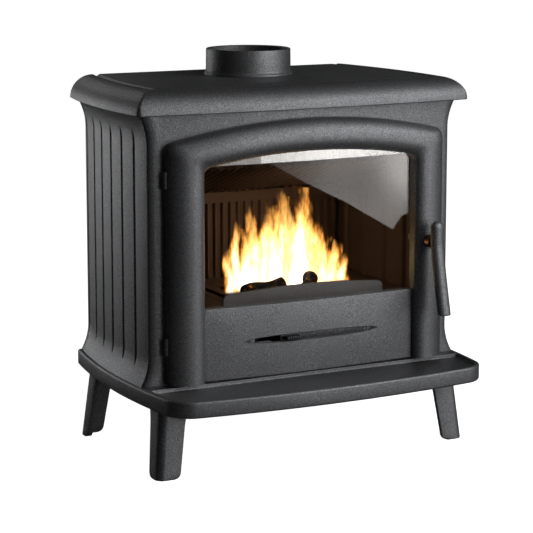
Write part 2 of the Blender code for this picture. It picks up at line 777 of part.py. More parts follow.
def collar_lugs():
    """Small clamps inside the collar that hold it to the lid from below."""
    inner = COLLAR_RADIUS - COLLAR_WALL
    for side, hand in ((-1, "left"), (1, "right")):
        xs = sorted((side * (inner - CLAMP_LAP), side * (inner + CLAMP_REACH)))
        under = LID_TOP - LID_SKIN - GAP
        clamp = box(xs[0], xs[1], COLLAR_Y - CLAMP_HALF, COLLAR_Y + CLAMP_HALF, under - CLAMP_THICKNESS, under)
        add("collar_clamp_%s" % hand, clamp, "steel", smooth=False)


def tie_rods():
    for front, end in ((True, "front"), (False, "back")):
        for side, hand in ((-1, "left"), (1, "right")):
            y = SIDE_FRONT + ROD_FROM_FRONT if front else SIDE_BACK - ROD_FROM_BACK
            x = side * (side_x(y, BODY_HALF) - SIDE_THICKNESS - ROD_NUT - ROD_SIDE_GAP)
            low = BODY_BOTTOM
            length = LID_TOP - LID_SKIN - GAP - low
            upper = length - ROD_NUT_HEIGHT
            profile = [(0, ROD_NUT), (ROD_NUT_HEIGHT, ROD_NUT), (ROD_NUT_HEIGHT, ROD_RADIUS),
                       (upper, ROD_RADIUS), (upper, ROD_NUT), (length, ROD_NUT)]
            add("tie_rod_%s_%s" % (end, hand), round_bar((x, y, low), (0, 0, 1), profile, 12), "steel")


# ---------------------------------------------------------------- firebox

def ribbed_edge(start, end, face, rib):
    """Zigzag of (along, depth) with narrow ribs standing out from a face."""
    count = max(2, round((end - start) / LINER_RIB_PITCH))
    pitch = (end - start) / count
    points = [(start, face)]
    for k in range(count):
        left = start + pitch * k
        points += [(left + pitch * 0.25, face), (left + pitch * 0.38, face + rib),
                   (left + pitch * 0.62, face + rib), (left + pitch * 0.75, face)]
    points.append((end, face))
    return points


def liners():
    low = HEARTH_TOP + GAP
    high = low + LINER_HEIGHT
    for side, hand in ((-1, "left"), (1, "right")):
        edge = [(side * x, y) for y, x in ribbed_edge(LINER_FRONT, LINER_BACK, LINER_IN, -LINER_RIB)]
        outline = edge + [(side * LINER_OUT, LINER_BACK), (side * LINER_OUT, LINER_FRONT)]
        add("liner_%s" % hand, loft([plan(outline, low), plan(outline, high)]), "liner", smooth=False)
    half = LINER_IN - LINER_RIB - LINER_CORNER_GAP
    face = LINER_BACK - BACK_LINER_THICKNESS
    edge = ribbed_edge(-half, half, face, -LINER_RIB)
    outline = edge + [(half, LINER_BACK), (-half, LINER_BACK)]
    add("liner_back", loft([plan(outline, low), plan(outline, high)]), "liner", smooth=False)


def hearth():
    """The hearth plate on its two rails, with the grate let into it."""
    edge = []
    for k in range(13):
        x = LINER_OUT * (k / 6 - 1)
        edge.append((x, FRONT_Y + FRAME_THICKNESS + HEARTH_FRONT_GAP + bow(x)))
    outline = edge + [(LINER_OUT, LINER_BACK), (-LINER_OUT, LINER_BACK)]
    plate = loft([plan(outline, HEARTH_BOTTOM), plan(outline, HEARTH_TOP)])
    mid = (LINER_FRONT + LINER_BACK) / 2
    front = mid - GRATE_DEPTH / 2
    back = mid + GRATE_DEPTH / 2
    lip = GRATE_LIP
    plate = cut(plate, box(-GRATE_HALF, GRATE_HALF, front, back, HEARTH_BOTTOM - BEYOND, HEARTH_TOP + BEYOND))
    ledge = box(-GRATE_HALF - lip, GRATE_HALF + lip, front - lip, back + lip,
                HEARTH_TOP - HEARTH_THICKNESS / 2, HEARTH_TOP + BEYOND)
    add("hearth_plate", cut(plate, ledge), "liner", smooth=False)
    rim = lip - GRATE_PLAY
    grate = box(-GRATE_HALF - rim, GRATE_HALF + rim, front - rim, back + rim,
                HEARTH_TOP - HEARTH_THICKNESS / 2 + GAP, HEARTH_TOP)
    pitch = 2 * GRATE_HALF / GRATE_SLOTS
    for k in range(GRATE_SLOTS):
        x = -GRATE_HALF + pitch * (k + 0.5)
        half = pitch * GRATE_SLOT_SHARE / 2
        slot = box(x - half, x + half, front + GRATE_BORDER, back - GRATE_BORDER,
                   HEARTH_BOTTOM, HEARTH_TOP + BEYOND)
        grate = cut(grate, slot)
    add("fire_grate", grate, "liner", smooth=False)
    for side, hand in ((-1, "left"), (1, "right")):
        out = side_x(SIDE_BACK, BODY_HALF) - SIDE_THICKNESS - RAIL_SIDE_GAP
        inner = LINER_OUT - RAIL_UNDER_HEARTH
        xs = sorted((side * inner, side * out))
        top = HEARTH_BOTTOM - GAP
        rail = box(xs[0], xs[1], SIDE_FRONT + RAIL_FRONT_GAP, SIDE_BACK - RAIL_BACK_GAP, top - RAIL_SIZE, top)
        inside = sorted((side * (out - RAIL_WALL), side * (inner - BEYOND)))
        hollow = box(inside[0], inside[1], SIDE_FRONT, SIDE_BACK, top - RAIL_SIZE - BEYOND, top - RAIL_WALL)
        add("hearth_rail_%s" % hand, cut(rail, hollow), "sheet", smooth=False)


def baffle_box(half, thick, below, start, length):
    """A box laid along the baffle's slope, below its underside by below."""
    y0 = LINER_BACK - BACK_LINER_THICKNESS - LINER_RIB - BAFFLE_BACK_GAP
    z0 = HEARTH_TOP + BAFFLE_BACK_RISE
    up = Vector((0, -cos(BAFFLE_TILT), sin(BAFFLE_TILT)))
    out = Vector((0, sin(BAFFLE_TILT), cos(BAFFLE_TILT)))
    base = Vector((0, y0, z0)) - out * below
    levels = []
    for distance in (start, start + length):
        level = []
        for x in half:
            level.append(tuple(base + up * distance + Vector((x, 0, 0))))
        for x in reversed(half):
            level.append(tuple(base + up * distance + Vector((x, 0, 0)) + out * thick))
        levels.append(level)
    return loft(levels)


def baffle():
    half = LINER_IN - LINER_RIB - BAFFLE_SIDE_GAP
    plate = baffle_box((-half, half), BAFFLE_THICKNESS, 0.0, BAFFLE_START, BAFFLE_LENGTH)
    add("baffle_plate", plate, "liner", smooth=False)
    for side, hand in ((-1, "left"), (1, "right")):
        xs = sorted((side * half, side * (half - BAFFLE_REST)))
        length = BAFFLE_LENGTH - 2 * BAFFLE_REST_START
        rest = baffle_box(xs, BAFFLE_REST, BAFFLE_REST + GAP, BAFFLE_REST_START, length)
        add("baffle_rest_%s" % hand, rest, "liner", smooth=False)


def log_guard():
    low = HEARTH_TOP + GAP
    outline = arch(GUARD_HALF, low, low + GUARD_RISE, GUARD_ARCH_RADIUS, GUARD_CORNER)
    back = FRAME_THICKNESS + GUARD_GAP
    guard = front_plate(outline, -back - GUARD_THICKNESS, -back)
    add("log_guard", bend_front(guard), "liner")


# ---------------------------------------------------------------- ash compartment

def ash_compartment():
    y0 = FRONT_Y + FRAME_THICKNESS + SHELF_FRONT_GAP
    y1 = SIDE_BACK - SHELF_BACK_GAP
    low = BODY_BOTTOM
    inner = SHELF_HALF - SHELF_WALL
    under = SHELF_TOP - SHELF_THICKNESS
    bridge = [(-SHELF_HALF, low), (-SHELF_HALF, SHELF_TOP), (SHELF_HALF, SHELF_TOP), (SHELF_HALF, low),
              (inner, low), (inner, under), (-inner, under), (-inner, low)]
    add("ash_shelf", loft([[(x, y, z) for x, z in bridge] for y in (y0, y1)]), "sheet", smooth=False)
    floor = SHELF_TOP + GAP
    front = y0 + PAN_FRONT_GAP
    back = y1 - PAN_BACK_GAP
    pan = box(-PAN_HALF, PAN_HALF, front, back, floor, floor + PAN_HEIGHT)
    half = PAN_HALF - PAN_WALL
    room = box(-half, half, front + PAN_WALL, back - PAN_WALL, floor + PAN_WALL, floor + PAN_HEIGHT + BEYOND)
    add("ash_pan", cut(pan, room), "sheet", smooth=False)
    low = floor + PAN_HEIGHT * GRIP_SHARE
    near = front - GAP
    grip = box(-PAN_GRIP, PAN_GRIP, near - GRIP_REACH, near, low, low + GRIP_HEIGHT)
    reach = PAN_GRIP + BEYOND
    hollow = box(-reach, reach, near - GRIP_REACH + GRIP_WALL, near - GRIP_WALL,
                 low - BEYOND, low + GRIP_HEIGHT - GRIP_WALL)
    add("ash_pan_grip", cut(grip, hollow), "steel", smooth=False)


# ---------------------------------------------------------------- door

def door_frame():
    """The arched bead, swept up one side, over the arch and down, with a rail behind the lower panel."""
    outer = door_outline()
    inner = arch(WINDOW_HALF, DOOR_BOTTOM, WINDOW_APEX, DOOR_ARCH_RADIUS - BEAD_TOP, WINDOW_CORNER)
    base = DOOR_STANDOFF + DOOR_EDGE
    section = [(0.0, DOOR_STANDOFF)]
    for k in range(BEAD_STEPS + 1):
        angle = pi / 2 * k / BEAD_STEPS
        section.append((BEAD_CREST * (1 - cos(angle)), base + BEAD_RISE * sin(angle)))
    top = base + BEAD_RISE
    for k in range(1, BEAD_STEPS + 1):
        angle = pi / 2 * k / BEAD_STEPS
        share = BEAD_CREST + (1 - BEAD_CREST) * sin(angle)
        section.append((share, top - BEAD_FALL * (1 - cos(angle))))
    section.append((1.0, DOOR_STANDOFF))
    rings = []
    for share, depth in section:
        ring = []
        for a, b in zip(outer, inner):
            x = a[0] + (b[0] - a[0]) * share
            z = a[1] + (b[1] - a[1]) * share
            ring.append((x, FRONT_Y - depth, z))
        rings.append(ring)
    frame = skin(rings)
    reach = WINDOW_HALF + RAIL_LAP
    rail = [(-reach, DOOR_BOTTOM), (reach, DOOR_BOTTOM), (reach, WINDOW_BOTTOM), (-reach, WINDOW_BOTTOM)]
    frame = join(frame, front_plate(rail, DOOR_STANDOFF, DOOR_STANDOFF + RAIL_THICKNESS))
    air = SLOT_HALF - VENT_INSET
    tall = VENT_HALF_HEIGHT
    vent = [(-air, SLOT_Z - tall), (air, SLOT_Z - tall), (air, SLOT_Z + tall), (-air, SLOT_Z + tall)]
    frame = cut(frame, front_plate(vent, DOOR_STANDOFF - BEYOND, DOOR_STANDOFF + RAIL_THICKNESS + BEYOND))
    frame = cut(bend_front(frame), slide_room())
    start = (HANDLE_X, FRONT_Y - top - BEYOND, HANDLE_Z)
    frame = cut(frame, rod(start, (0, 1, 0), top + bow(DOOR_HALF) + 2 * BEYOND, SPINDLE_RADIUS + SPINDLE_PLAY))
    length = HINGE_LUG_HEIGHT + HINGE_EYE_HEIGHT + 2 * HINGE_ROOM
    for z in hinge_heights():
        start = (HINGE_X, HINGE_Y, z - HINGE_LUG_HEIGHT - HINGE_ROOM)
        frame = cut(frame, rod(start, (0, 0, 1), length, HINGE_EYE_RADIUS + HINGE_ROOM, 20))
    add("door_frame", frame, "iron", origin=(HINGE_X, HINGE_Y, 0.0))


def lens(half_height, tip):
    """A long slot that narrows to a point at each end."""
    top = []
    for k in range(LENS_STEPS + 1):
        x = tip * (2 * k / LENS_STEPS - 1)
        top.append((x, half_height * (1 - abs(x / tip) ** 3) ** LENS_BLUNTNESS))
    low = [(-x, SLOT_Z - z) for x, z in top[1:-1]]
    return [(x, SLOT_Z + z) for x, z in top] + low


def door_lower_panel():
    reach = WINDOW_HALF - PANEL_SIDE_GAP
    near = DOOR_STANDOFF + RAIL_THICKNESS + GAP
    far = near + PANEL_THICKNESS
    outline = [(-reach, DOOR_BOTTOM), (reach, DOOR_BOTTOM), (reach, WINDOW_BOTTOM), (-reach, WINDOW_BOTTOM)]
    panel = front_plate(outline, near, far)
    recess = lens(SLOT_HALF_HEIGHT, SLOT_TIP)
    panel = cut(panel, front_plate(recess, far - SLOT_BEVEL_DEPTH, far + BEYOND))
    inside = [(max(-SLOT_HALF, min(SLOT_HALF, x)), z) for x, z in lens(SLOT_HALF_HEIGHT - OPENING_INSET, SLOT_TIP)]
    opening = [point for k, point in enumerate(inside) if k == 0 or point != inside[k - 1]]
    panel = cut(panel, front_plate(opening, near - BEYOND, far + 2 * BEYOND))
    panel = cut(bend_front(panel), slide_room())
    add("door_lower_panel", panel, "iron", origin=(HINGE_X, HINGE_Y, 0.0))


def slide_room():
    """The straight channel that the slider runs in, across the bowed panel and its rail."""
    reach = SLOT_HALF + ROOM_PAST_SLOT
    tall = SLIDER_HALF_HEIGHT + SLIDER_PLAY
    outline = [(-reach, SLOT_Z - tall), (reach, SLOT_Z - tall), (reach, SLOT_Z + tall), (-reach, SLOT_Z + tall)]
    near = SLIDER_DEPTH - SLIDER_PLAY
    return front_plate(outline, near, near + SLIDER_THICKNESS + 2 * SLIDER_PLAY)


def air_slide():
    near = SLIDER_DEPTH
    tall = SLIDER_HALF_HEIGHT
    outline = [(SLIDER_LEFT, SLOT_Z - tall), (SLIDER_RIGHT, SLOT_Z - tall),
               (SLIDER_RIGHT, SLOT_Z + tall), (SLIDER_LEFT, SLOT_Z + tall)]
    plate = front_plate(outline, near, near + SLIDER_THICKNESS)
    mid = (SLIDER_LEFT + SLIDER_RIGHT) / 2
    add("air_slider", plate, "iron", origin=(mid, FRONT_Y, SLOT_Z), smooth=False)
    far = DOOR_STANDOFF + RAIL_THICKNESS + GAP + PANEL_THICKNESS + KNOB_REACH
    half = KNOB_LENGTH / 2
    tall = KNOB_HALF_HEIGHT
    outline = [(KNOB_X - half, SLOT_Z - tall), (KNOB_X + half, SLOT_Z - tall),
               (KNOB_X + half, SLOT_Z + tall), (KNOB_X - half, SLOT_Z + tall)]
    knob = front_plate(outline, near + SLIDER_THICKNESS + GAP, far)
    add("air_slider_knob", knob, "steel", origin=(mid, FRONT_Y, SLOT_Z), smooth=False)


def door_glass():
    outline = window_outline(GLASS_LAP, WINDOW_BOTTOM - GLASS_LAP)
    near = DOOR_STANDOFF - GAP - GLASS_THICKNESS
    glass = front_plate(outline, near, near + GLASS_THICKNESS)
    add("door_glass", bend_front(glass), "glass", origin=(HINGE_X, HINGE_Y, 0.0))


def glass_clips():
    """Four small plates behind the glass that hold its edges against the frame."""
    far = DOOR_STANDOFF - GAP - GLASS_THICKNESS - GAP
    low = WINDOW_BOTTOM + CLIP_LOW
    high = WINDOW_APEX - CLIP_HIGH
    outer = GLASS_HALF - CLIP_LAP + CLIP_HEIGHT
    for z, level in ((low, "lower"), (high, "upper")):
        for side, hand in ((-1, "left"), (1, "right")):
            xs = sorted((side * (GLASS_HALF - CLIP_LAP), side * outer))
            outline = [(xs[0], z), (xs[1], z), (xs[1], z + CLIP_WIDTH), (xs[0], z + CLIP_WIDTH)]
            clip = front_plate(outline, far - CLIP_THICKNESS, far)
            xs = sorted((side * (GLASS_HALF + GAP), side * outer))
            outline = [(xs[0], z), (xs[1], z), (xs[1], z + CLIP_WIDTH), (xs[0], z + CLIP_WIDTH)]
            clip = join(clip, front_plate(outline, far - CLIP_THICKNESS, DOOR_STANDOFF - GAP))
            add("glass_clip_%s_%s" % (level, hand), bend_front(clip), "steel",
                origin=(HINGE_X, HINGE_Y, 0.0), smooth=False)


def door_gasket():
    """A flat rope seal round the door's back edge, between door and frame."""
    near = GAP
    far = DOOR_STANDOFF - GAP
    rings = []
    bottom = DOOR_BOTTOM + GASKET_RISE
    inner = GASKET_INSET + GASKET_WIDTH
    for inset, rise, depth in ((GASKET_INSET, 0.0, near), (GASKET_INSET, 0.0, far),
                               (inner, GASKET_WIDTH, far), (inner, GASKET_WIDTH, near)):
        outline = door_outline(inset, bottom + rise)
        rings.append([(x, FRONT_Y - depth, z) for x, z in outline])
    add("door_gasket", bend_front(skin(rings, closed_path=True)), "rope", origin=(HINGE_X, HINGE_Y, 0.0))


# ---------------------------------------------------------------- hinges

def hinge_heights():
    """The height where each hinge's lug meets its eye."""
    low = DOOR_BOTTOM + HINGE_FROM_END
    high = DOOR_APEX - ARCH_DROP - HINGE_FROM_END
    return low, high


def hinges():
    up = (0, 0, 1)
    fit = HINGE_PIN_RADIUS + HINGE_PLAY
    for z, level in zip(hinge_heights(), ("lower", "upper")):
        low = z - HINGE_LUG_HEIGHT
        lug = rod((HINGE_X, HINGE_Y, low), up, HINGE_LUG_HEIGHT, HINGE_EYE_RADIUS, 20)
        face = FRONT_Y + bow(HINGE_X) - GAP
        arm = box(HINGE_X - HINGE_EYE_RADIUS, HINGE_X - HINGE_ARM_GAP, HINGE_Y, face, low, z)
        hole = rod((HINGE_X, HINGE_Y, low - BEYOND), up, HINGE_LUG_HEIGHT + 2 * BEYOND, fit, 20)
        add("hinge_lug_%s" % level, cut(join(lug, arm), hole), "iron")
        pin = rod((HINGE_X, HINGE_Y, low), up, HINGE_LUG_HEIGHT + HINGE_EYE_HEIGHT, HINGE_PIN_RADIUS, 20)
        add("hinge_pin_%s" % level, pin, "steel")
        eye = rod((HINGE_X, HINGE_Y, z + GAP), up, HINGE_EYE_HEIGHT, HINGE_EYE_RADIUS, 20)
        drill = rod((HINGE_X, HINGE_Y, z + GAP - BEYOND), up, HINGE_EYE_HEIGHT + 2 * BEYOND, fit, 20)
        add("hinge_eye_%s" % level, cut(eye, drill), "iron", origin=(HINGE_X, HINGE_Y, 0.0))


# ---------------------------------------------------------------- handle

def bead_crest():
    """Forward depth of the bead's front at the handle, as a place along Y."""
    return FRONT_Y + bow(HANDLE_X) - DOOR_STANDOFF - DOOR_EDGE - BEAD_RISE


def handle():
    crest = bead_crest()
    lever_back = crest - SHAFT_REACH - GAP
    pivot = (HANDLE_X, lever_back, HANDLE_Z)
    start = lever_back + GAP
    neck = crest - 3 * GAP - start
    total = CAM_BACK + SPINDLE_PAST_CAM - start
    profile = [(0, SHAFT_RADIUS), (neck, SHAFT_RADIUS), (neck, SPINDLE_RADIUS), (total, SPINDLE_RADIUS)]
    add("handle_shaft", round_bar((HANDLE_X, start, HANDLE_Z), (0, 1, 0), profile), "steel", origin=pivot)
    add("handle_lever", lever_shape(lever_back), "iron", origin=pivot)
    add("latch_cam", cut(cam_shape(CAM_FRONT, CAM_BACK), spindle_hole(CAM_FRONT)), "steel", origin=pivot)
    nut = rod((HANDLE_X, CAM_BACK + GAP, HANDLE_Z), (0, 1, 0), NUT_THICKNESS, NUT_RADIUS, 6)
    add("latch_nut", cut(nut, spindle_hole(CAM_BACK)), "steel", origin=pivot)


def spindle_hole(y):
    """The hole for the spindle through a small piece whose front lies near y."""
    return rod((HANDLE_X, y - BEYOND, HANDLE_Z), (0, 1, 0), 3 * BEYOND, SPINDLE_RADIUS + FIT_PLAY)


def lever_shape(back):
    """A round-fronted bar that hangs from its pivot and stands further out towards its lower end."""
    top = []
    for k in range(5):
        angle = pi / 2 * k / 4
        top.append((LEVER_ABOVE - LEVER_WIDTH / 2 * (1 - cos(angle)), max(sin(angle), 0.12)))
    levels = []
    heights = top + [(0.0, 1.0), (-LEVER_BELOW * 0.33, 1.0), (-LEVER_BELOW * 0.66, 1.0),
                     (-LEVER_BELOW + 0.002, 1.0), (-LEVER_BELOW, 0.90)]
    for rise, share in heights:
        down = max(0.0, -rise) / LEVER_BELOW
        sweep = LEVER_SWEEP * down ** 1.5
        shift = LEVER_SHIFT * down
        level = []
        for k in range(LEVER_SIDES):
            angle = 2 * pi * k / LEVER_SIDES
            x = HANDLE_X + shift + LEVER_WIDTH / 2 * share * cos(angle)
            y = back - sweep - LEVER_THICKNESS / 2 + LEVER_THICKNESS / 2 * share * sin(angle)
            level.append((x, y, HANDLE_Z + rise))
        levels.append(level)
    return loft(levels)


def cam_shape(front, back):
    half = CAM_WIDTH / 2 * CAM_TIP_SHARE
    tip = HANDLE_X + CAM_REACH
    outline = [(tip, HANDLE_Z - half), (tip, HANDLE_Z + half)]
    for k in range(9):
        angle = pi / 3 + (4 * pi / 3) * k / 8
        outline.append((HANDLE_X + CAM_HUB * cos(angle), HANDLE_Z + CAM_HUB * sin(angle)))
    return loft([[(x, y, z) for x, z in outline] for y in (front, back)])


def clear_scene():
    for old in list(bpy.data.objects):
        bpy.data.objects.remove(old)


def build():
    clear_scene()
    hearth_tray()
    legs()
    tray_bolt()
    side_panel("side_panel_left", -1)
    side_panel("side_panel_right", 1)
    front_frame()
    back_panel()
    top_plate()
    flue_collar()
    collar_lugs()
    tie_rods()
    liners()
    hearth()
    baffle()
    log_guard()
    ash_compartment()
    door_frame()
    door_lower_panel()
    air_slide()
    door_glass()
    glass_clips()
    door_gasket()
    hinges()
    handle()


build()
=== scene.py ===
"""The looks of a cast-iron wood stove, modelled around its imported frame.

The castings are drawn from a few sizes, read from the frame where it has them, and replace their plain
solids. Every depth on the bowed front is measured forward from the front frame's face.
"""

import bmesh
import bpy
import json
from math import atan2, ceil, cos, pi, radians, sin, sqrt
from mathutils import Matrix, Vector


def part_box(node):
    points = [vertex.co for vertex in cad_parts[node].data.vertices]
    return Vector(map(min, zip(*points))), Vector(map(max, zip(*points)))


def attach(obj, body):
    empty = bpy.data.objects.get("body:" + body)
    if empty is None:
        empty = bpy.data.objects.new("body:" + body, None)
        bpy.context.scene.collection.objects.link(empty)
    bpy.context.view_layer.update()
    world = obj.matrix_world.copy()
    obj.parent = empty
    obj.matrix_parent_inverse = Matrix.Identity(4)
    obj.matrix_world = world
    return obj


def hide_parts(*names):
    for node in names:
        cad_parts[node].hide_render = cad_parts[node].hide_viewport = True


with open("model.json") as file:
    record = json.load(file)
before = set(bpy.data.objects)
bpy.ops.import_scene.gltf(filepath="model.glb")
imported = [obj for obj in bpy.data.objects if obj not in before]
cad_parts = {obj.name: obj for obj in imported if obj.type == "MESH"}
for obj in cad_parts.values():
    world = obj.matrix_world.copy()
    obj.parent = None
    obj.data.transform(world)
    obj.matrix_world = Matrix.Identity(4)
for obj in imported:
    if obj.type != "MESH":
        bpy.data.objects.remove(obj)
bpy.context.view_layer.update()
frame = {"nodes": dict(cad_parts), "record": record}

bl_info = {
    "name": "Cast-iron wood stove",
    "version": (1, 0, 0),
    "blender": (4, 5, 0),
    "location": "View3D > Sidebar > Stove",
    "description": "Builds the castings, glass, finishes and stage of a wood stove around its frame",
    "category": "Object",
}

# Places read from the frame
TRAY_LOW, TRAY_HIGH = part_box("hearth_tray")
LID_LOW, LID_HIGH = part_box("top_plate")
SIDE_LOW, SIDE_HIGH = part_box("side_panel_right")
BACK_LOW, BACK_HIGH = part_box("back_panel")
DOOR_LOW, DOOR_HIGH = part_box("door_frame")
PANEL_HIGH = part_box("door_lower_panel")[1]
GLASS_LOW, GLASS_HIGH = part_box("door_glass")
COLLAR_LOW, COLLAR_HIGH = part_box("flue_collar")
LEVER_LOW, LEVER_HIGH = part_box("handle_lever")
SHAFT_LOW, SHAFT_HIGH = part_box("handle_shaft")
SLIDER_LOW, SLIDER_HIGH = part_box("air_slider")
KNOB_LOW, KNOB_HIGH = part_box("air_slider_knob")
GUARD_LOW, GUARD_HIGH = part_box("log_guard")
HEARTH_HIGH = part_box("hearth_plate")[1]
LEG_LOW, LEG_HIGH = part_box("leg_front_right")
REAR_LEG_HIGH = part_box("leg_back_right")[1]
LINER_LOW, LINER_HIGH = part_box("liner_right")
BACK_LINER_LOW, BACK_LINER_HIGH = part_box("liner_back")
BAFFLE_LOW, BAFFLE_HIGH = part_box("baffle_plate")

FRONT_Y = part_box("front_frame")[0].y
BODY_LOW = SIDE_LOW.z
BODY_TOP = SIDE_HIGH.z
DOOR_HALF = DOOR_HIGH.x
PANEL_GAP = 0.0006
PANEL_HALF = PANEL_HIGH.x + PANEL_GAP
WINDOW_SILL = PANEL_HIGH.z
SLOT_Z = (SLIDER_LOW.z + SLIDER_HIGH.z) / 2
WIDEST_Y = -0.0095
LID_HALF = LID_HIGH.x

# Shapes that the frame does not hold
FRONT_RADIUS = 2.27
SIDE_RADIUS = 1.1
TRAY_SIDE_RADIUS = 1.25
TRAY_FRONT_RADIUS = 1.95
LID_FRONT_RADIUS = 3.3
ARCH_RADIUS = 1.08
FLARE = 0.014
FLARE_HEIGHT = 0.048
BODY_HALF = SIDE_HIGH.x - FLARE
WALL = 0.009
STANDOFF = 0.003
HAIR = 0.0003
DOOR_EDGE = 0.006
DOOR_CORNER = 0.017
DOOR_LAP = 0.025
BEAD_TOP = 0.054
BEAD_CREST = 0.58
BEAD_FALL = 0.0172
WINDOW_CORNER = 0.014
RAIL_THICKNESS = 0.0035
PANEL_NEAR = STANDOFF + 0.0043
PANEL_THICKNESS = 0.0065
GLASS_THICKNESS = 0.004
GLASS_CORNER = 0.012
CHANNEL_HALF = 0.115
VENT_HALF = 0.106
VENT_HALF_HEIGHT = 0.006
SLOT_TIP = 0.131
LEG_SPLAY = 0.012
LEG_CORNER = 0.014
LEG_TOE = 0.010
GROOVE_END = 0.029


class StoveShape(bpy.types.PropertyGroup):
    """Sizes that a user would change."""
    groove_depth: bpy.props.FloatProperty(
        name="Side groove depth", description="How deep the grooves between the side planks are",
        default=0.0048, min=0.001, max=0.006, unit="LENGTH")
    groove_half: bpy.props.FloatProperty(
        name="Side groove half width", description="Half the width of a side groove at the surface",
        default=0.0042, min=0.001, max=0.008, unit="LENGTH")
    plank_crown: bpy.props.FloatProperty(
        name="Plank crown", description="How much a side plank swells between its grooves",
        default=0.0008, min=0.0, max=0.003, unit="LENGTH")
    lid_round: bpy.props.FloatProperty(
        name="Lid edge", description="Width of the quarter-round edge of the lid",
        default=0.042, min=0.02, max=0.06, unit="LENGTH")
    lid_groove: bpy.props.FloatProperty(
        name="Lid groove", description="Depth of the V-groove on the lid",
        default=0.004, min=0.001, max=0.008, unit="LENGTH")
    bead_rise: bpy.props.FloatProperty(
        name="Door bead", description="How far the door's bead stands out of its edge",
        default=0.025, min=0.01, max=0.04, unit="LENGTH")


class StoveFinish(bpy.types.PropertyGroup):
    """Colours and gloss of the finishes."""
    iron: bpy.props.FloatVectorProperty(
        name="Painted iron", description="Colour of the painted castings",
        subtype="COLOR", size=3, default=(0.105, 0.107, 0.112), min=0.0, max=1.0)
    iron_fleck: bpy.props.FloatVectorProperty(
        name="Iron fleck", description="Colour of the light grain in the paint",
        subtype="COLOR", size=3, default=(0.220, 0.222, 0.228), min=0.0, max=1.0)
    iron_roughness: bpy.props.FloatProperty(
        name="Iron roughness", description="Roughness of the painted castings",
        subtype="FACTOR", default=0.48, min=0.0, max=1.0)
    scorched: bpy.props.FloatVectorProperty(
        name="Scorched iron", description="Colour of the firebox castings",
        subtype="COLOR", size=3, default=(0.031, 0.026, 0.023), min=0.0, max=1.0)
    soot: bpy.props.FloatVectorProperty(
        name="Soot", description="Colour of the soot on the firebox castings",
        subtype="COLOR", size=3, default=(0.022, 0.017, 0.014), min=0.0, max=1.0)
    glass_tint: bpy.props.FloatVectorProperty(
        name="Glass tint", description="Tint of the ceramic glass",
        subtype="COLOR", size=3, default=(0.96, 0.93, 0.89), min=0.0, max=1.0)


class StoveStage(bpy.types.PropertyGroup):
    """The camera and the lights."""
    lens: bpy.props.FloatProperty(
        name="Lens", description="Focal length of the camera, in millimetres",
        default=133.66, min=20.0, max=300.0)
    azimuth: bpy.props.FloatProperty(
        name="Azimuth", description="Direction that the camera looks from, about the vertical",
        subtype="ANGLE", default=radians(-27.275))
    tilt: bpy.props.FloatProperty(
        name="Tilt", description="How far the camera looks down",
        subtype="ANGLE", default=radians(9.068))
    light: bpy.props.FloatProperty(
        name="Lights", description="Share of the lights' full power", default=1.0, min=0.0, max=10.0)
    sky: bpy.props.FloatProperty(
        name="Room light", description="Strength of the even light of the room",
        default=0.01, min=0.0, max=2.0)


# ---------------------------------------------------------------- outlines

def bow(x):
    """How far back the bowed front lies at x; past the door it stays straight."""
    return min(abs(x), DOOR_HALF + 0.005) ** 2 / (2 * FRONT_RADIUS)


def side_x(y, half, radius=SIDE_RADIUS):
    return half - (y - WIDEST_Y) ** 2 / (2 * radius)


def flare(z):
    """How far a body side stands out at height z."""
    top = max(0.0, (z - (BODY_TOP - FLARE_HEIGHT)) / FLARE_HEIGHT)
    low = max(0.0, (BODY_LOW + FLARE_HEIGHT - z) / FLARE_HEIGHT)
    return FLARE * max(top, low) ** 2


def spread(start, end, count):
    """count + 1 even steps from start to end."""
    return [start + (end - start) * k / count for k in range(count + 1)]


def round_between(start, corner, end, steps):
    """A round corner from start to end, as a conic pulled towards the corner."""
    weight = sqrt(0.5)
    points = []
    for t in spread(0.0, 1.0, steps):
        shares = ((1 - t) ** 2, 2 * t * (1 - t) * weight, t * t)
        total = sum(shares)
        points.append(tuple(sum(s * p for s, p in zip(shares, trio)) / total
                            for trio in zip(start, corner, end)))
    return points


def bowed_plan(half, side_radius, front, front_radius, back, corner, inset=0.0):
    """Plan outline from back left round the front to back right, set in by inset."""
    def side(y):
        return side_x(y, half - inset, side_radius)

    def face(x):
        return front + inset + x * x / (2 * front_radius)

    meet = half - inset
    for _ in range(20):
        meet = side(face(meet))
    radius = max(corner - inset, 0.004)
    low = face(meet) + radius
    edge = meet - radius
    left = [(-side(y), y) for y in spread(back, low, 24)[:-1]]
    bend = round_between((-side(low), low), (-meet, face(meet)), (-edge, face(edge)), 10)
    middle = [(x, face(x)) for x in spread(-edge, edge, 48)[1:-1]]
    half_way = left + bend
    return half_way + middle + [(-x, y) for x, y in reversed(half_way)]


def arch(half, bottom, apex, radius, corner, side=10, curve=10, span=44):
    """Points (x, z) from bottom left up over a rounded arch to bottom right."""
    centre = apex - radius
    bend_x = half - corner
    bend_z = centre + sqrt((radius - corner) ** 2 - bend_x ** 2)
    meet = atan2(bend_z - centre, -bend_x)
    points = [(-half, z) for z in spread(bottom, bend_z, side)[:-1]]
    for angle in spread(pi, meet, curve):
        points.append((-bend_x + corner * cos(angle), bend_z + corner * sin(angle)))
    ends = [(-x, z) for x, z in reversed(points)]
    middle = []
    for angle in spread(meet, pi - meet, span)[1:-1]:
        middle.append((radius * cos(angle), centre + radius * sin(angle)))
    return points + middle + ends


def at(points, z):
    return [(x, y, z) for x, y in points]


def oblong(left, right, low, high):
    """The four corners of a rectangle, from its low left corner."""
    return [(left, low), (right, low), (right, high), (left, high)]


# ---------------------------------------------------------------- modelling

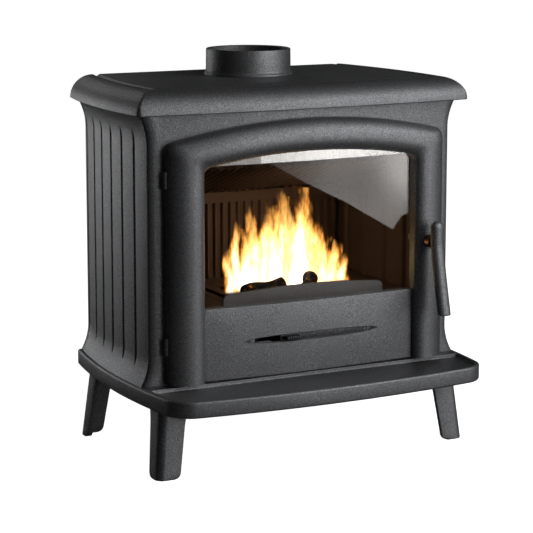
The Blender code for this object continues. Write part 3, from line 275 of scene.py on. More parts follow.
def choose(piece):
    """Makes a piece the only selected and the active object."""
    bpy.ops.object.select_all(action="DESELECT")
    piece.select_set(True)
    bpy.context.view_layer.objects.active = piece


def named(piece, name):
    piece.name = name
    piece.data.name = name
    return piece


def stack(name, levels, closed=False):
    """Extrudes a ring of points through levels, then caps both ends or joins the last ring to the first."""
    bpy.ops.object.select_all(action="DESELECT")
    bpy.ops.mesh.primitive_circle_add(vertices=len(levels[0]), fill_type="NOTHING")
    piece = named(bpy.context.object, name)
    bpy.ops.object.mode_set(mode="EDIT")
    bpy.ops.mesh.select_mode(type="VERT")
    mesh = bmesh.from_edit_mesh(piece.data)
    station = mesh.verts.layers.int.new("station")
    for vert in mesh.verts:
        vert[station] = vert.index
        vert.co = levels[0][vert.index]
    bpy.ops.mesh.select_all(action="SELECT")
    for level in levels[1:]:
        bpy.ops.mesh.extrude_region_move()
        mesh = bmesh.from_edit_mesh(piece.data)
        station = mesh.verts.layers.int["station"]
        for vert in mesh.verts:
            if vert.select:
                vert.co = level[vert[station]]
    bpy.ops.mesh.select_all(action="DESELECT")
    bpy.ops.mesh.select_non_manifold()
    if closed:
        bpy.ops.mesh.bridge_edge_loops()
    else:
        bpy.ops.mesh.select_all(action="SELECT")
        bpy.ops.mesh.fill_holes(sides=0)
    bpy.ops.mesh.select_all(action="SELECT")
    bpy.ops.mesh.normals_make_consistent(inside=False)
    bpy.ops.object.mode_set(mode="OBJECT")
    piece.data.attributes.remove(piece.data.attributes["station"])
    return piece


def panel(name, columns, rows, place, thickness):
    """A grid laid out by place(column, row), given a wall of some thickness behind it."""
    bpy.ops.object.select_all(action="DESELECT")
    bpy.ops.mesh.primitive_grid_add(x_subdivisions=len(columns) - 1, y_subdivisions=len(rows) - 1, size=2)
    piece = named(bpy.context.object, name)
    for vert in piece.data.vertices:
        i = round((vert.co.x + 1) / 2 * (len(columns) - 1))
        j = round((vert.co.y + 1) / 2 * (len(rows) - 1))
        vert.co = place(columns[i], rows[j])
    solid = piece.modifiers.new("wall", "SOLIDIFY")
    solid.thickness = thickness
    solid.offset = -1.0
    apply_modifiers(piece)
    return piece


def apply_modifiers(piece):
    choose(piece)
    for modifier in list(piece.modifiers):
        bpy.ops.object.modifier_apply(modifier=modifier.name)


def carve(piece, tool, operation="DIFFERENCE"):
    """Cuts the tool out of the piece, or joins it on, and removes the tool."""
    step = piece.modifiers.new("carve", "BOOLEAN")
    step.operation = operation
    step.solver = "EXACT"
    step.object = tool
    apply_modifiers(piece)
    bpy.data.objects.remove(tool)
    return piece


def soften(piece, width, segments=3, limit=38.0):
    """Rounds the sharp edges of a piece."""
    edge = piece.modifiers.new("edge", "BEVEL")
    edge.width = width
    edge.segments = segments
    edge.limit_method = "ANGLE"
    edge.angle_limit = radians(limit)
    edge.use_clamp_overlap = True
    apply_modifiers(piece)
    return piece


def facing(piece):
    choose(piece)
    bpy.ops.object.mode_set(mode="EDIT")
    bpy.ops.mesh.select_all(action="SELECT")
    bpy.ops.mesh.remove_doubles(threshold=0.000005)
    bpy.ops.mesh.normals_make_consistent(inside=False)
    bpy.ops.object.mode_set(mode="OBJECT")
    return piece


def bend(piece, step=0.012):
    """Splits a flat front piece into strips and bows it."""
    choose(piece)
    bpy.ops.object.mode_set(mode="EDIT")
    low = min(v.co.x for v in piece.data.vertices)
    high = max(v.co.x for v in piece.data.vertices)
    count = ceil((high - low) / step)
    for x in spread(low, high, count)[1:-1]:
        bpy.ops.mesh.select_all(action="SELECT")
        bpy.ops.mesh.bisect(plane_co=(x, 0, 0), plane_no=(1, 0, 0))
    bpy.ops.object.mode_set(mode="OBJECT")
    for vert in piece.data.vertices:
        vert.co.y += bow(vert.co.x)
    return piece


def place(piece, body, node, finish, slot="cast_iron", angle=32.0, replaces=()):
    """Shades a finished piece, gives it its finish and makes it stand for its CAD nodes."""
    choose(piece)
    bpy.ops.object.shade_smooth_by_angle(angle=radians(angle))
    piece.data.materials.clear()
    piece.data.materials.append(bpy.data.materials[finish])
    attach(piece, body)
    if node:
        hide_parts(node, *replaces)
    return piece


def front_solid(name, outline, near, far):
    """An outline of (x, z) made solid between two forward depths from the frame's face."""
    return stack(name, [[(x, FRONT_Y - d, z) for x, z in outline] for d in (near, far)])


def turned(name, start, axis, profile, sides=48):
    """A turned body: profile is a list of (distance along the axis, radius)."""
    turn = Vector(axis).normalized().to_track_quat("Z", "Y").to_matrix()
    levels = []
    for height, radius in profile:
        level = []
        for k in range(sides):
            angle = 2 * pi * k / sides
            spoke = Vector((radius * cos(angle), radius * sin(angle), height))
            level.append(tuple(Vector(start) + turn @ spoke))
        levels.append(level)
    return stack(name, levels)


# ---------------------------------------------------------------- finishes

def node(tree, kind, **values):
    made = tree.nodes.new(kind)
    for name, value in values.items():
        setattr(made, name, value)
    return made


def feed(tree, target, value):
    """Sets a socket to a value or links it to another socket."""
    if isinstance(value, bpy.types.NodeSocket):
        tree.links.new(value, target)
    else:
        target.default_value = value


def noise_of(tree, vector, scale, detail=2.0, roughness=0.5):
    made = node(tree, "ShaderNodeTexNoise")
    feed(tree, made.inputs["Vector"], vector)
    made.inputs["Scale"].default_value = scale
    made.inputs["Detail"].default_value = detail
    made.inputs["Roughness"].default_value = roughness
    return made.outputs["Fac"]


def span(tree, value, low, high, start=0.0, end=1.0):
    made = node(tree, "ShaderNodeMapRange", interpolation_type="SMOOTHSTEP")
    feed(tree, made.inputs["Value"], value)
    for name, number in (("From Min", low), ("From Max", high), ("To Min", start), ("To Max", end)):
        made.inputs[name].default_value = number
    return made.outputs["Result"]


def sums(tree, operation, first, second):
    made = node(tree, "ShaderNodeMath", operation=operation)
    feed(tree, made.inputs[0], first)
    feed(tree, made.inputs[1], second)
    return made.outputs[0]


def blend_colours(tree, share, first, second, kind="MIX"):
    made = node(tree, "ShaderNodeMix", data_type="RGBA", blend_type=kind)
    feed(tree, made.inputs["Factor"], share)
    feed(tree, made.inputs["A"], first)
    feed(tree, made.inputs["B"], second)
    return made.outputs["Result"]


def cast_grain_group():
    """Grain of sand-cast, stove-painted iron: fine grit, flecks and slow cloudy change."""
    tree = bpy.data.node_groups.new("sand_cast_grain", "ShaderNodeTree")
    tree.interface.new_socket("Vector", in_out="INPUT", socket_type="NodeSocketVector")
    size = tree.interface.new_socket("Grit Scale", in_out="INPUT", socket_type="NodeSocketFloat")
    size.default_value = 560.0
    for name in ("Fleck", "Cloud", "Height"):
        tree.interface.new_socket(name, in_out="OUTPUT", socket_type="NodeSocketFloat")
    inside = node(tree, "NodeGroupInput")
    outside = node(tree, "NodeGroupOutput")
    fine = node(tree, "ShaderNodeTexNoise")
    feed(tree, fine.inputs["Vector"], inside.outputs["Vector"])
    feed(tree, fine.inputs["Scale"], inside.outputs["Grit Scale"])
    fine.inputs["Detail"].default_value = 3.0
    fine.inputs["Roughness"].default_value = 0.62
    pits = node(tree, "ShaderNodeTexVoronoi", feature="F1")
    feed(tree, pits.inputs["Vector"], inside.outputs["Vector"])
    feed(tree, pits.inputs["Scale"], sums(tree, "MULTIPLY", inside.outputs["Grit Scale"], 1.4))
    cloud = noise_of(tree, inside.outputs["Vector"], 7.0, 3.0)
    orange = noise_of(tree, inside.outputs["Vector"], 210.0, 2.0)
    feed(tree, outside.inputs["Fleck"], span(tree, fine.outputs["Fac"], 0.40, 0.68))
    feed(tree, outside.inputs["Cloud"], span(tree, cloud, 0.3, 0.7))
    grit = sums(tree, "MULTIPLY", pits.outputs["Distance"], 0.35)
    height = sums(tree, "ADD", fine.outputs["Fac"], grit)
    feed(tree, outside.inputs["Height"], sums(tree, "ADD", height, sums(tree, "MULTIPLY", orange, 0.5)))
    return tree


def rust_group():
    """Streaks of heat colour and soot that run up a firebox casting."""
    tree = bpy.data.node_groups.new("soot_and_heat", "ShaderNodeTree")
    tree.interface.new_socket("Vector", in_out="INPUT", socket_type="NodeSocketVector")
    for name in ("Soot", "Scale", "Height"):
        tree.interface.new_socket(name, in_out="OUTPUT", socket_type="NodeSocketFloat")
    inside = node(tree, "NodeGroupInput")
    outside = node(tree, "NodeGroupOutput")
    stretch = node(tree, "ShaderNodeMapping")
    feed(tree, stretch.inputs["Vector"], inside.outputs["Vector"])
    stretch.inputs["Scale"].default_value = (1.0, 1.0, 0.14)
    streak = noise_of(tree, stretch.outputs["Vector"], 60.0, 4.0, 0.6)
    broad = noise_of(tree, inside.outputs["Vector"], 9.0, 3.0)
    flake = noise_of(tree, inside.outputs["Vector"], 240.0, 4.0, 0.65)
    feed(tree, outside.inputs["Soot"], span(tree, sums(tree, "ADD", streak, broad), 0.80, 1.25))
    feed(tree, outside.inputs["Scale"], span(tree, flake, 0.35, 0.7))
    feed(tree, outside.inputs["Height"], sums(tree, "ADD", flake, sums(tree, "MULTIPLY", streak, 0.7)))
    return tree


def start_material(name):
    made = bpy.data.materials.new(name)
    made.use_nodes = True
    tree = made.node_tree
    shader = tree.nodes["Principled BSDF"]
    place_of = node(tree, "ShaderNodeTexCoord").outputs["Object"]
    return tree, shader, place_of


def bump(tree, shader, height, strength, distance):
    made = node(tree, "ShaderNodeBump")
    made.inputs["Strength"].default_value = strength
    made.inputs["Distance"].default_value = distance
    feed(tree, made.inputs["Height"], height)
    feed(tree, shader.inputs["Normal"], made.outputs["Normal"])


def iron_material(name, base, fleck, roughness, grit=560.0, relief=0.0005):
    tree, shader, where = start_material(name)
    grain = node(tree, "ShaderNodeGroup", node_tree=bpy.data.node_groups["sand_cast_grain"])
    feed(tree, grain.inputs["Vector"], where)
    grain.inputs["Grit Scale"].default_value = grit
    flecked = blend_colours(tree, grain.outputs["Fleck"], (*base, 1.0), (*fleck, 1.0))
    darker = tuple(0.82 * part for part in base)
    cloud = sums(tree, "MULTIPLY", grain.outputs["Cloud"], 0.35)
    cloudy = blend_colours(tree, cloud, flecked, (*darker, 1.0))
    feed(tree, shader.inputs["Base Color"], cloudy)
    feed(tree, shader.inputs["Roughness"],
         span(tree, grain.outputs["Fleck"], 0.0, 1.0, roughness + 0.05, roughness - 0.07))
    shader.inputs["Metallic"].default_value = 0.78
    shader.inputs["Specular IOR Level"].default_value = 0.5
    bump(tree, shader, grain.outputs["Height"], 0.7, relief)


def firebox_material(name, heat, soot, roughness=0.72):
    tree, shader, where = start_material(name)
    mask = node(tree, "ShaderNodeGroup", node_tree=bpy.data.node_groups["soot_and_heat"])
    feed(tree, mask.inputs["Vector"], where)
    brighter = tuple(1.35 * part for part in heat)
    brown = blend_colours(tree, mask.outputs["Scale"], (*heat, 1.0), (*brighter, 1.0))
    feed(tree, shader.inputs["Base Color"], blend_colours(tree, mask.outputs["Soot"], brown, (*soot, 1.0)))
    feed(tree, shader.inputs["Roughness"],
         span(tree, mask.outputs["Scale"], 0.0, 1.0, roughness, roughness + 0.15))
    shader.inputs["Metallic"].default_value = 0.15
    bump(tree, shader, mask.outputs["Height"], 0.6, 0.0006)


def steel_material(name, colour, roughness, tone):
    """Turned or rolled steel with fine marks and some heat colour."""
    tree, shader, where = start_material(name)
    stretch = node(tree, "ShaderNodeMapping")
    feed(tree, stretch.inputs["Vector"], where)
    stretch.inputs["Scale"].default_value = (1.0, 8.0, 1.0)
    marks = noise_of(tree, stretch.outputs["Vector"], 300.0, 3.0)
    stain = noise_of(tree, where, 45.0, 3.0)
    tinted = blend_colours(tree, span(tree, stain, 0.35, 0.7), (*colour, 1.0), (*tone, 1.0))
    feed(tree, shader.inputs["Base Color"], tinted)
    feed(tree, shader.inputs["Roughness"], span(tree, marks, 0.3, 0.7, roughness - 0.08, roughness + 0.1))
    shader.inputs["Metallic"].default_value = 0.9
    bump(tree, shader, marks, 0.25, 0.0002)


def rope_material():
    tree, shader, where = start_material("gasket_rope")
    braid = node(tree, "ShaderNodeTexWave", wave_type="BANDS", bands_direction="DIAGONAL")
    feed(tree, braid.inputs["Vector"], where)
    braid.inputs["Scale"].default_value = 160.0
    braid.inputs["Distortion"].default_value = 3.0
    braid.inputs["Detail"].default_value = 2.0
    feed(tree, shader.inputs["Base Color"],
         blend_colours(tree, braid.outputs["Fac"], (0.045, 0.044, 0.042, 1.0), (0.16, 0.155, 0.15, 1.0)))
    shader.inputs["Roughness"].default_value = 0.95
    bump(tree, shader, braid.outputs["Fac"], 0.8, 0.0008)


def glass_material(tint):
    """Ceramic glass, faintly smoked in patches by the fire."""
    tree, shader, where = start_material("ceramic_glass")
    smear = noise_of(tree, where, 14.0, 4.0, 0.6)
    smoked = tuple(0.93 * part for part in tint)
    feed(tree, shader.inputs["Base Color"],
         blend_colours(tree, span(tree, smear, 0.35, 0.75), (*tint, 1.0), (*smoked, 1.0)))
    shader.inputs["Roughness"].default_value = 0.0
    shader.inputs["IOR"].default_value = 1.52
    shader.inputs["Transmission Weight"].default_value = 1.0


class STOVE_OT_finishes(bpy.types.Operator):
    """Make the finishes of the stove"""
    bl_idname = "stove.finishes"
    bl_label = "Finishes"

    def execute(self, context):
        finish = context.scene.stove_finish
        cast_grain_group()
        rust_group()
        iron = tuple(finish.iron)
        fleck = tuple(finish.iron_fleck)
        iron_material("stove_iron", iron, fleck, finish.iron_roughness)
        # The log guard's iron is the painted iron's colour made 1.8 times lighter.
        lighter_iron = tuple(1.8 * part for part in iron)
        iron_material("guard_iron", lighter_iron, fleck, 0.6)
        # The air slider and its knob sit in the slot's recess: their iron is a darker copy of the painted
        # iron, painted shade.
        recess_shaded = tuple(0.28 * part for part in iron)
        recess_shaded_fleck = tuple(0.4 * part for part in fleck)
        iron_material("shaded_slider_iron", recess_shaded, recess_shaded_fleck, 0.42)
        firebox_material("firebox_iron", tuple(finish.scorched), tuple(finish.soot))
        steel_material("plain_steel", (0.30, 0.30, 0.31), 0.42, (0.22, 0.20, 0.19))
        steel_material("sheet_steel", (0.13, 0.13, 0.135), 0.55, (0.09, 0.085, 0.08))
        steel_material("browned_steel", (0.16, 0.085, 0.05), 0.32, (0.10, 0.055, 0.035))
        rope_material()
        glass_material(tuple(finish.glass_tint))
        return {"FINISHED"}


# ---------------------------------------------------------------- body castings

class STOVE_OT_tray(bpy.types.Operator):
    """Cast the bowed hearth tray with its rim and its hollow underside"""
    bl_idname = "stove.tray"
    bl_label = "Hearth tray"

    def execute(self, context):
        corner = 0.034
        rim = 0.009
        drop = 0.006
        high = TRAY_HIGH.z
        low = TRAY_LOW.z

        edge = 0.004
        half = TRAY_HIGH.x + 0.00045

        def outline(inset, back=TRAY_HIGH.y):
            return bowed_plan(half, TRAY_SIDE_RADIUS, TRAY_LOW.y, TRAY_FRONT_RADIUS, back, corner, inset)

        levels = []
        for angle in spread(-pi / 2, 0.0, 5):
            levels.append(at(outline(edge * (1 - cos(angle))), low + edge + edge * sin(angle)))
        for angle in spread(0.0, pi / 2, 5):
            levels.append(at(outline(edge * (1 - cos(angle))), high - edge + edge * sin(angle)))
        tray = stack("hearth_tray_casting", levels)
        pocket_back = FRONT_Y - STANDOFF
        floor = high - drop
        cutter = []
        for inset, z in ((rim + 0.0035, floor), (rim + 0.001, floor + 0.0015),
                         (rim, floor + 0.004), (rim, high + 0.01)):
            cutter.append(at(outline(inset, pocket_back), z))
        carve(tray, stack("pocket", cutter))
        hollow = oblong(-0.20, 0.20, TRAY_LOW.y + 0.06, TRAY_HIGH.y - 0.03)
        carve(tray, stack("hollow", [at(hollow, low - 0.01), at(hollow, floor - WALL)]))
        soften(tray, 0.0012)
        place(facing(tray), "stove", "hearth_tray", "stove_iron")
        return {"FINISHED"}


class STOVE_OT_lid(bpy.types.Operator):
    """Cast the lid with its quarter-round edge, its V-groove and its flue hole"""
    bl_idname = "stove.lid"
    bl_label = "Lid"

    def execute(self, context):
        shape = context.scene.stove_shape
        corner = 0.007
        thick = LID_HIGH.z - LID_LOW.z

        def outline(inset, back=LID_HIGH.y):
            return bowed_plan(LID_HALF, SIDE_RADIUS, LID_LOW.y, LID_FRONT_RADIUS, back, corner, inset)

        levels = [at(outline(0.0012), LID_LOW.z), at(outline(0.0), LID_LOW.z + 0.0012)]
        for angle in spread(0.05, pi / 2, 20):
            levels.append(at(outline(shape.lid_round * (1 - cos(angle))), LID_LOW.z + thick * sin(angle)))
        lid = stack("lid_casting", levels)
        hollow = outline(0.038, LID_HIGH.y - 0.014)
        carve(lid, stack("hollow", [at(hollow, LID_LOW.z - 0.01), at(hollow, LID_HIGH.z - 0.012)]))
        past = LID_HIGH.y + 0.01
        sections = []
        line = 0.0505
        deep = shape.lid_groove
        for aside, rise in ((-0.0090, 0.0012), (-0.0055, -0.0005), (-0.0015, -0.75 * deep), (0.0, -deep),
                            (0.0015, -0.75 * deep), (0.0055, -0.0005), (0.0090, 0.0012), (0.0, 0.01)):
            sections.append(at(outline(line + aside, past), LID_HIGH.z + rise))
        stations = [[section[k] for section in sections] for k in range(len(sections[0]))]
        carve(lid, stack("groove", stations))
        middle = (COLLAR_LOW + COLLAR_HIGH) / 2
        bore = COLLAR_HIGH.x - 0.0078
        under = (0, middle.y, LID_LOW.z - 0.01)
        carve(lid, turned("hole", under, (0, 0, 1), [(0, bore), (thick + 0.02, bore)], 64))
        place(facing(lid), "stove", "top_plate", "stove_iron", angle=30.0)
        return {"FINISHED"}


class STOVE_OT_sides(bpy.types.Operator):
    """Cast the two fluted sides, which flare to the lid and the tray"""
    bl_idname = "stove.sides"
    bl_label = "Sides"

    grooves: bpy.props.IntProperty(
        name="Grooves", description="Grooves on each side", default=5, min=1, max=12)
    pitch: bpy.props.FloatProperty(
        name="Pitch", description="Distance between grooves", default=0.0505, unit="LENGTH")

    def execute(self, context):
        shape = context.scene.stove_shape
        middle = (SIDE_LOW.y + SIDE_HIGH.y) / 2 - 0.005
        places = [middle + self.pitch * (k - (self.grooves - 1) / 2) for k in range(self.grooves)]
        half = shape.groove_half
        columns = {SIDE_LOW.y, SIDE_HIGH.y}
        for y in places:
            for share in (0, 0.25, 0.5, 0.8, 1.0, 1.2, 1.5):
                columns |= {y - half * share, y + half * share}
        edges = [SIDE_LOW.y] + places + [SIDE_HIGH.y]
        for start, end in zip(edges, edges[1:]):
            columns |= set(spread(start + 1.9 * half, end - 1.9 * half, 6))
        columns = sorted(columns)
        rows = spread(BODY_LOW, BODY_LOW + 0.070, 26) + spread(BODY_LOW + 0.070, BODY_TOP - 0.070, 10)[1:-1]
        rows += spread(BODY_TOP - 0.070, BODY_TOP, 26)

        def depth(y, z):
            """Groove depth at a point: the groove narrows to a point at both ends."""
            near = min(z - BODY_LOW, BODY_TOP - z)
            share = min(1.0, max(0.0, (near - GROOVE_END) / 0.016))
            gap = min(abs(y - g) for g in places)
            width = half * (0.25 + 0.75 * share)
            if share <= 0.0:
                return 0.0
            return shape.groove_depth * sqrt(share) * max(0.0, 1 - gap / width) ** 0.75

        def crown(y):
            for start, end in zip(edges, edges[1:]):
                if start <= y <= end:
                    t = (y - start) / (end - start)
                    return shape.plank_crown * (4 * t * (1 - t)) ** 0.6 - shape.plank_crown
            return -shape.plank_crown

        for side, hand in ((-1, "left"), (1, "right")):
            def lay(y, z):
                out = side_x(y, BODY_HALF) + flare(z) - depth(y, z)
                near = min(z - BODY_LOW, BODY_TOP - z)
                out += crown(y) * min(1.0, max(0.0, (near - GROOVE_END) / 0.02))
                return (side * out, y, z)

            wall = -0.006 if side < 0 else 0.006
            piece = panel("side_casting_%s" % hand, columns, rows, lay, wall)
            place(facing(piece), "stove", "side_panel_%s" % hand, "stove_iron", angle=28.0)
        return {"FINISHED"}


class STOVE_OT_front(bpy.types.Operator):
    """Cast the front frame round the door, and the back panel"""
    bl_idname = "stove.front"
    bl_label = "Front frame and back"

    def execute(self, context):
        back = FRONT_Y + WALL
        frame_half = side_x(back, BODY_HALF)
        rows = spread(BODY_LOW, BODY_LOW + 0.05, 10) + spread(BODY_LOW + 0.05, BODY_TOP - 0.05, 6)[1:-1]
        rows += spread(BODY_TOP - 0.05, BODY_TOP, 10)
        levels = []
        for z in rows:
            half = frame_half + flare(z)
            curve = round_between((half, back), (half, FRONT_Y - 0.0006), (half - 0.024, FRONT_Y), 12)
            curve += [(half - 0.026, FRONT_Y), (0.13, FRONT_Y)]
            inner = [(-0.13, back), (0.13, back)]
            levels.append(at(curve + [(-x, y) for x, y in reversed(curve)] + inner, z))
        casting = stack("front_frame_casting", levels)
        sill = DOOR_LOW.z + 0.015
        radius = ARCH_RADIUS - DOOR_LAP
        opening = arch(DOOR_HALF - DOOR_LAP, sill, DOOR_HIGH.z - DOOR_LAP, radius, 0.010, 2, 6, 24)
        carve(casting, front_solid("opening", opening, -0.03, 0.02))
        soften(bend(casting), 0.0009, 2, 50.0)
        place(facing(casting), "stove", "front_frame", "stove_iron")
        self.back_panel()
        return {"FINISHED"}

    def back_panel(self):
        half_at = side_x(SIDE_HIGH.y, BODY_HALF)
        rows = spread(BODY_LOW, BODY_LOW + 0.05, 8) + spread(BODY_TOP - 0.05, BODY_TOP, 8)
        levels = []
        for z in rows:
            half = half_at + flare(z)
            levels.append(at(oblong(-half, half, BACK_LOW.y, BACK_HIGH.y), z))
        casting = stack("back_casting", levels)
        inset = 0.040
        field = oblong(-half_at + inset, half_at - inset, BODY_LOW + inset, BODY_TOP - inset)
        sunk = [[(x, BACK_HIGH.y + d, z) for x, z in field] for d in (-0.003, 0.01)]
        carve(casting, stack("field", sunk))
        soften(casting, 0.0012, 2)
        place(facing(casting), "stove", "back_panel", "stove_iron")


class STOVE_OT_collar(bpy.types.Operator):
    """Turn the flue collar with its foot flange and rolled rim"""
    bl_idname = "stove.collar"
    bl_label = "Flue collar"

    def execute(self, context):
        middle = (COLLAR_LOW + COLLAR_HIGH) / 2
        low = COLLAR_LOW.z
        top = COLLAR_HIGH.z
        foot = COLLAR_HIGH.x
        outer = foot - 0.0038
        inner = outer - 0.004
        profile = [(inner, low), (inner, top - 0.0015), (inner + 0.0012, top - 0.0002), (inner + 0.002, top),
                   (outer - 0.0014, top), (outer - 0.0004, top - 0.0006), (outer, top - 0.0022),
                   (outer + 0.0004, low + 0.009), (outer + 0.001, low + 0.006),
                   (outer + 0.0022, low + 0.0042), (foot - 0.0008, low + 0.0034),
                   (foot - 0.0002, low + 0.0026), (foot, low + 0.0015), (foot, low)]
        levels = []
        for k in range(96):
            angle = 2 * pi * k / 96
            levels.append([(r * cos(angle), middle.y + r * sin(angle), z) for r, z in profile])
        piece = stack("flue_collar_ring", levels, closed=True)
        place(facing(piece), "stove", "flue_collar", "stove_iron", angle=40.0)
        return {"FINISHED"}


class STOVE_OT_legs(bpy.types.Operator):
    """Cast the four splayed legs of L section"""
    bl_idname = "stove.legs"
    bl_label = "Legs"

    def execute(self, context):
        for side, hand in ((-1, "left"), (1, "right")):
            self.leg("leg_front_%s" % hand, side, LEG_HIGH.x, LEG_LOW.y, 1)
            self.leg("leg_back_%s" % hand, side, REAR_LEG_HIGH.x, REAR_LEG_HIGH.y, -1)
        return {"FINISHED"}

    def leg(self, name, side, foot_x, foot_y, inward):
        top = LEG_HIGH.z
        levels = []
        heights = spread(0.0, 0.012, 6) + spread(0.012, 0.082, 6)[1:] + spread(0.082, top, 10)[1:]
        for z in heights:
            share = z / top
            x = foot_x - LEG_SPLAY * share
            y = foot_y + inward * LEG_SPLAY * share
            wide = 0.041 + 0.006 * share + 0.006 * max(0.0, (share - 0.7) / 0.3) ** 2
            toe = LEG_TOE - sqrt(max(0.0, LEG_TOE ** 2 - max(0.0, LEG_TOE - z) ** 2))
            plan = self.section(x, y, wide - toe, wide * 0.88 - toe, inward)
            levels.append(at([(side * px, py) for px, py in plan], z))
        piece = stack(name + "_casting", levels)
        x = foot_x - LEG_SPLAY
        y = foot_y + inward * LEG_SPLAY
        pad = oblong(side * (x - WALL * 0.5), side * (x - 0.0374),
                     y + inward * WALL * 0.5, y + inward * 0.0326)
        carve(piece, stack("pad", [at(pad, top - 0.008), at(pad, top)]), "UNION")
        soften(piece, 0.0014, 2, 45.0)
        place(facing(piece), "stove", name, "stove_iron")

    def section(self, x, y, wide, deep, up):
        """An L with its outer corner at x, y; up is 1 or -1, the way its second flange runs."""
        outer = round_between((x - LEG_CORNER, y), (x, y), (x, y + up * LEG_CORNER), 8)
        corner = (x - WALL, y + up * WALL)
        inner = round_between((corner[0], corner[1] + up * 0.006), corner, (corner[0] - 0.006, corner[1]), 4)
        far = y + up * deep
        return [(x - wide, y)] + outer + [(x, far), (x - WALL, far)] + inner + [(x - wide, y + up * WALL)]


# ---------------------------------------------------------------- door

def bead_section(rise):
    """The bead across its width: share from its outer to its inner edge, and depth in front of the frame."""
    base = STANDOFF + DOOR_EDGE
    top = base + rise
    section = [(0.0, STANDOFF), (0.0, base - 0.001), (0.004, base)]
    for angle in spread(0.12, pi / 2, 12):
        section.append((BEAD_CREST * (1 - cos(angle)), base + rise * sin(angle)))
    for angle in spread(0.0, pi / 2 - 0.08, 12)[1:]:
        share = BEAD_CREST + (1 - BEAD_CREST) * sin(angle)
        section.append((share, top - BEAD_FALL * (1 - cos(angle))))
    section += [(1.0, top - BEAD_FALL - 0.0008), (1.0, STANDOFF)]
    return section


class STOVE_OT_door(bpy.types.Operator):
    """Cast the arched door frame, its lower panel and the rail behind it"""
    bl_idname = "stove.door"
    bl_label = "Door"

    def execute(self, context):
        shape = context.scene.stove_shape
        outer = arch(DOOR_HALF, DOOR_LOW.z, DOOR_HIGH.z, ARCH_RADIUS, DOOR_CORNER)
        apex = DOOR_HIGH.z - BEAD_TOP
        inner = arch(PANEL_HALF, DOOR_LOW.z, apex, ARCH_RADIUS - BEAD_TOP, WINDOW_CORNER)
        levels = []
        for a, b in zip(outer, inner):
            level = []
            for share, depth in bead_section(shape.bead_rise):
                x = a[0] + (b[0] - a[0]) * share
                z = a[1] + (b[1] - a[1]) * share
                level.append((x, FRONT_Y - depth + bow(x), z))
            levels.append(level)
        bead = stack("door_casting", levels)
        place(facing(bead), "door", "door_frame", "stove_iron", angle=40.0)
        self.rail()
        self.lower_panel()
        return {"FINISHED"}

    def rail(self):
        reach = PANEL_HALF - HAIR
        outline = oblong(-reach, reach, DOOR_LOW.z, WINDOW_SILL)
        piece = front_solid("door_rail_casting", outline, STANDOFF, STANDOFF + RAIL_THICKNESS)
        air = oblong(-VENT_HALF, VENT_HALF, SLOT_Z - VENT_HALF_HEIGHT, SLOT_Z + VENT_HALF_HEIGHT)
        carve(piece, front_solid("vent", air, -0.02, 0.02))
        bend(piece)
        carve(piece, slide_room())
        place(facing(piece), "door", None, "stove_iron")

    def lower_panel(self):
        far = PANEL_NEAR + PANEL_THICKNESS
        reach = PANEL_HALF - PANEL_GAP
        outline = oblong(-reach, reach, DOOR_LOW.z, WINDOW_SILL)
        piece = soften(front_solid("door_panel_casting", outline, PANEL_NEAR, far), 0.0016, 4)
        bevel = []
        for tall, past, depth in ((0.0046, -0.011, far - 0.0052), (0.0060, -0.003, far - 0.0012),
                                  (0.0068, 0.0, far - 0.0002), (0.0086, 0.006, far + 0.003)):
            bevel.append([(x, FRONT_Y - depth, z) for x, z in lens_outline(tall, SLOT_TIP + past)])
        carve(piece, stack("slot", bevel))
        way = oblong(-0.110, 0.110, SLOT_Z - 0.0034, SLOT_Z + 0.0042)
        carve(piece, soften(front_solid("way", way, PANEL_NEAR - 0.02, far + 0.001), 0.001, 2))
        bend(piece)
        carve(piece, slide_room())
        place(facing(piece), "door", "door_lower_panel", "stove_iron", angle=30.0)


def lens_outline(tall, tip):
    """A long slot that narrows to a point at each end."""
    top = [(x, tall * (1 - abs(x / tip) ** 3) ** 0.6) for x in spread(-tip, tip, 28)]
    return [(x, SLOT_Z + z) for x, z in top] + [(-x, SLOT_Z - z) for x, z in top[1:-1]]


def slide_room():
    """The straight channel that the slider runs in."""
    play = 0.0005
    tall = (SLIDER_HIGH.z - SLIDER_LOW.z) / 2 + play
    outline = oblong(-CHANNEL_HALF, CHANNEL_HALF, SLOT_Z - tall, SLOT_Z + tall)
    return front_solid("room", outline, FRONT_Y - SLIDER_HIGH.y - play, FRONT_Y - SLIDER_LOW.y + play)


class STOVE_OT_glass(bpy.types.Operator):
    """Bend the ceramic glass to the door's bow"""
    bl_idname = "stove.glass"
    bl_label = "Glass"

    def execute(self, context):
        half = GLASS_HIGH.x
        apex = GLASS_HIGH.z
        radius = ARCH_RADIUS - 0.045
        face = FRONT_Y - STANDOFF + HAIR

        def lay(x, share):
            aside = min(GLASS_CORNER, max(0.0, abs(x) - (half - GLASS_CORNER)))
            drop = GLASS_CORNER - sqrt(GLASS_CORNER ** 2 - aside ** 2)
            top = apex - radius + sqrt(radius ** 2 - x ** 2) - drop
            return (x, face + bow(x), GLASS_LOW.z + (top - GLASS_LOW.z) * share)

        pane = panel("door_glass_pane", spread(-half, half, 60), spread(0.0, 1.0, 24), lay, GLASS_THICKNESS)
        soften(pane, 0.0006, 2, 60.0)
        place(facing(pane), "door", "door_glass", "ceramic_glass", "door_glass", 40.0)
        return {"FINISHED"}


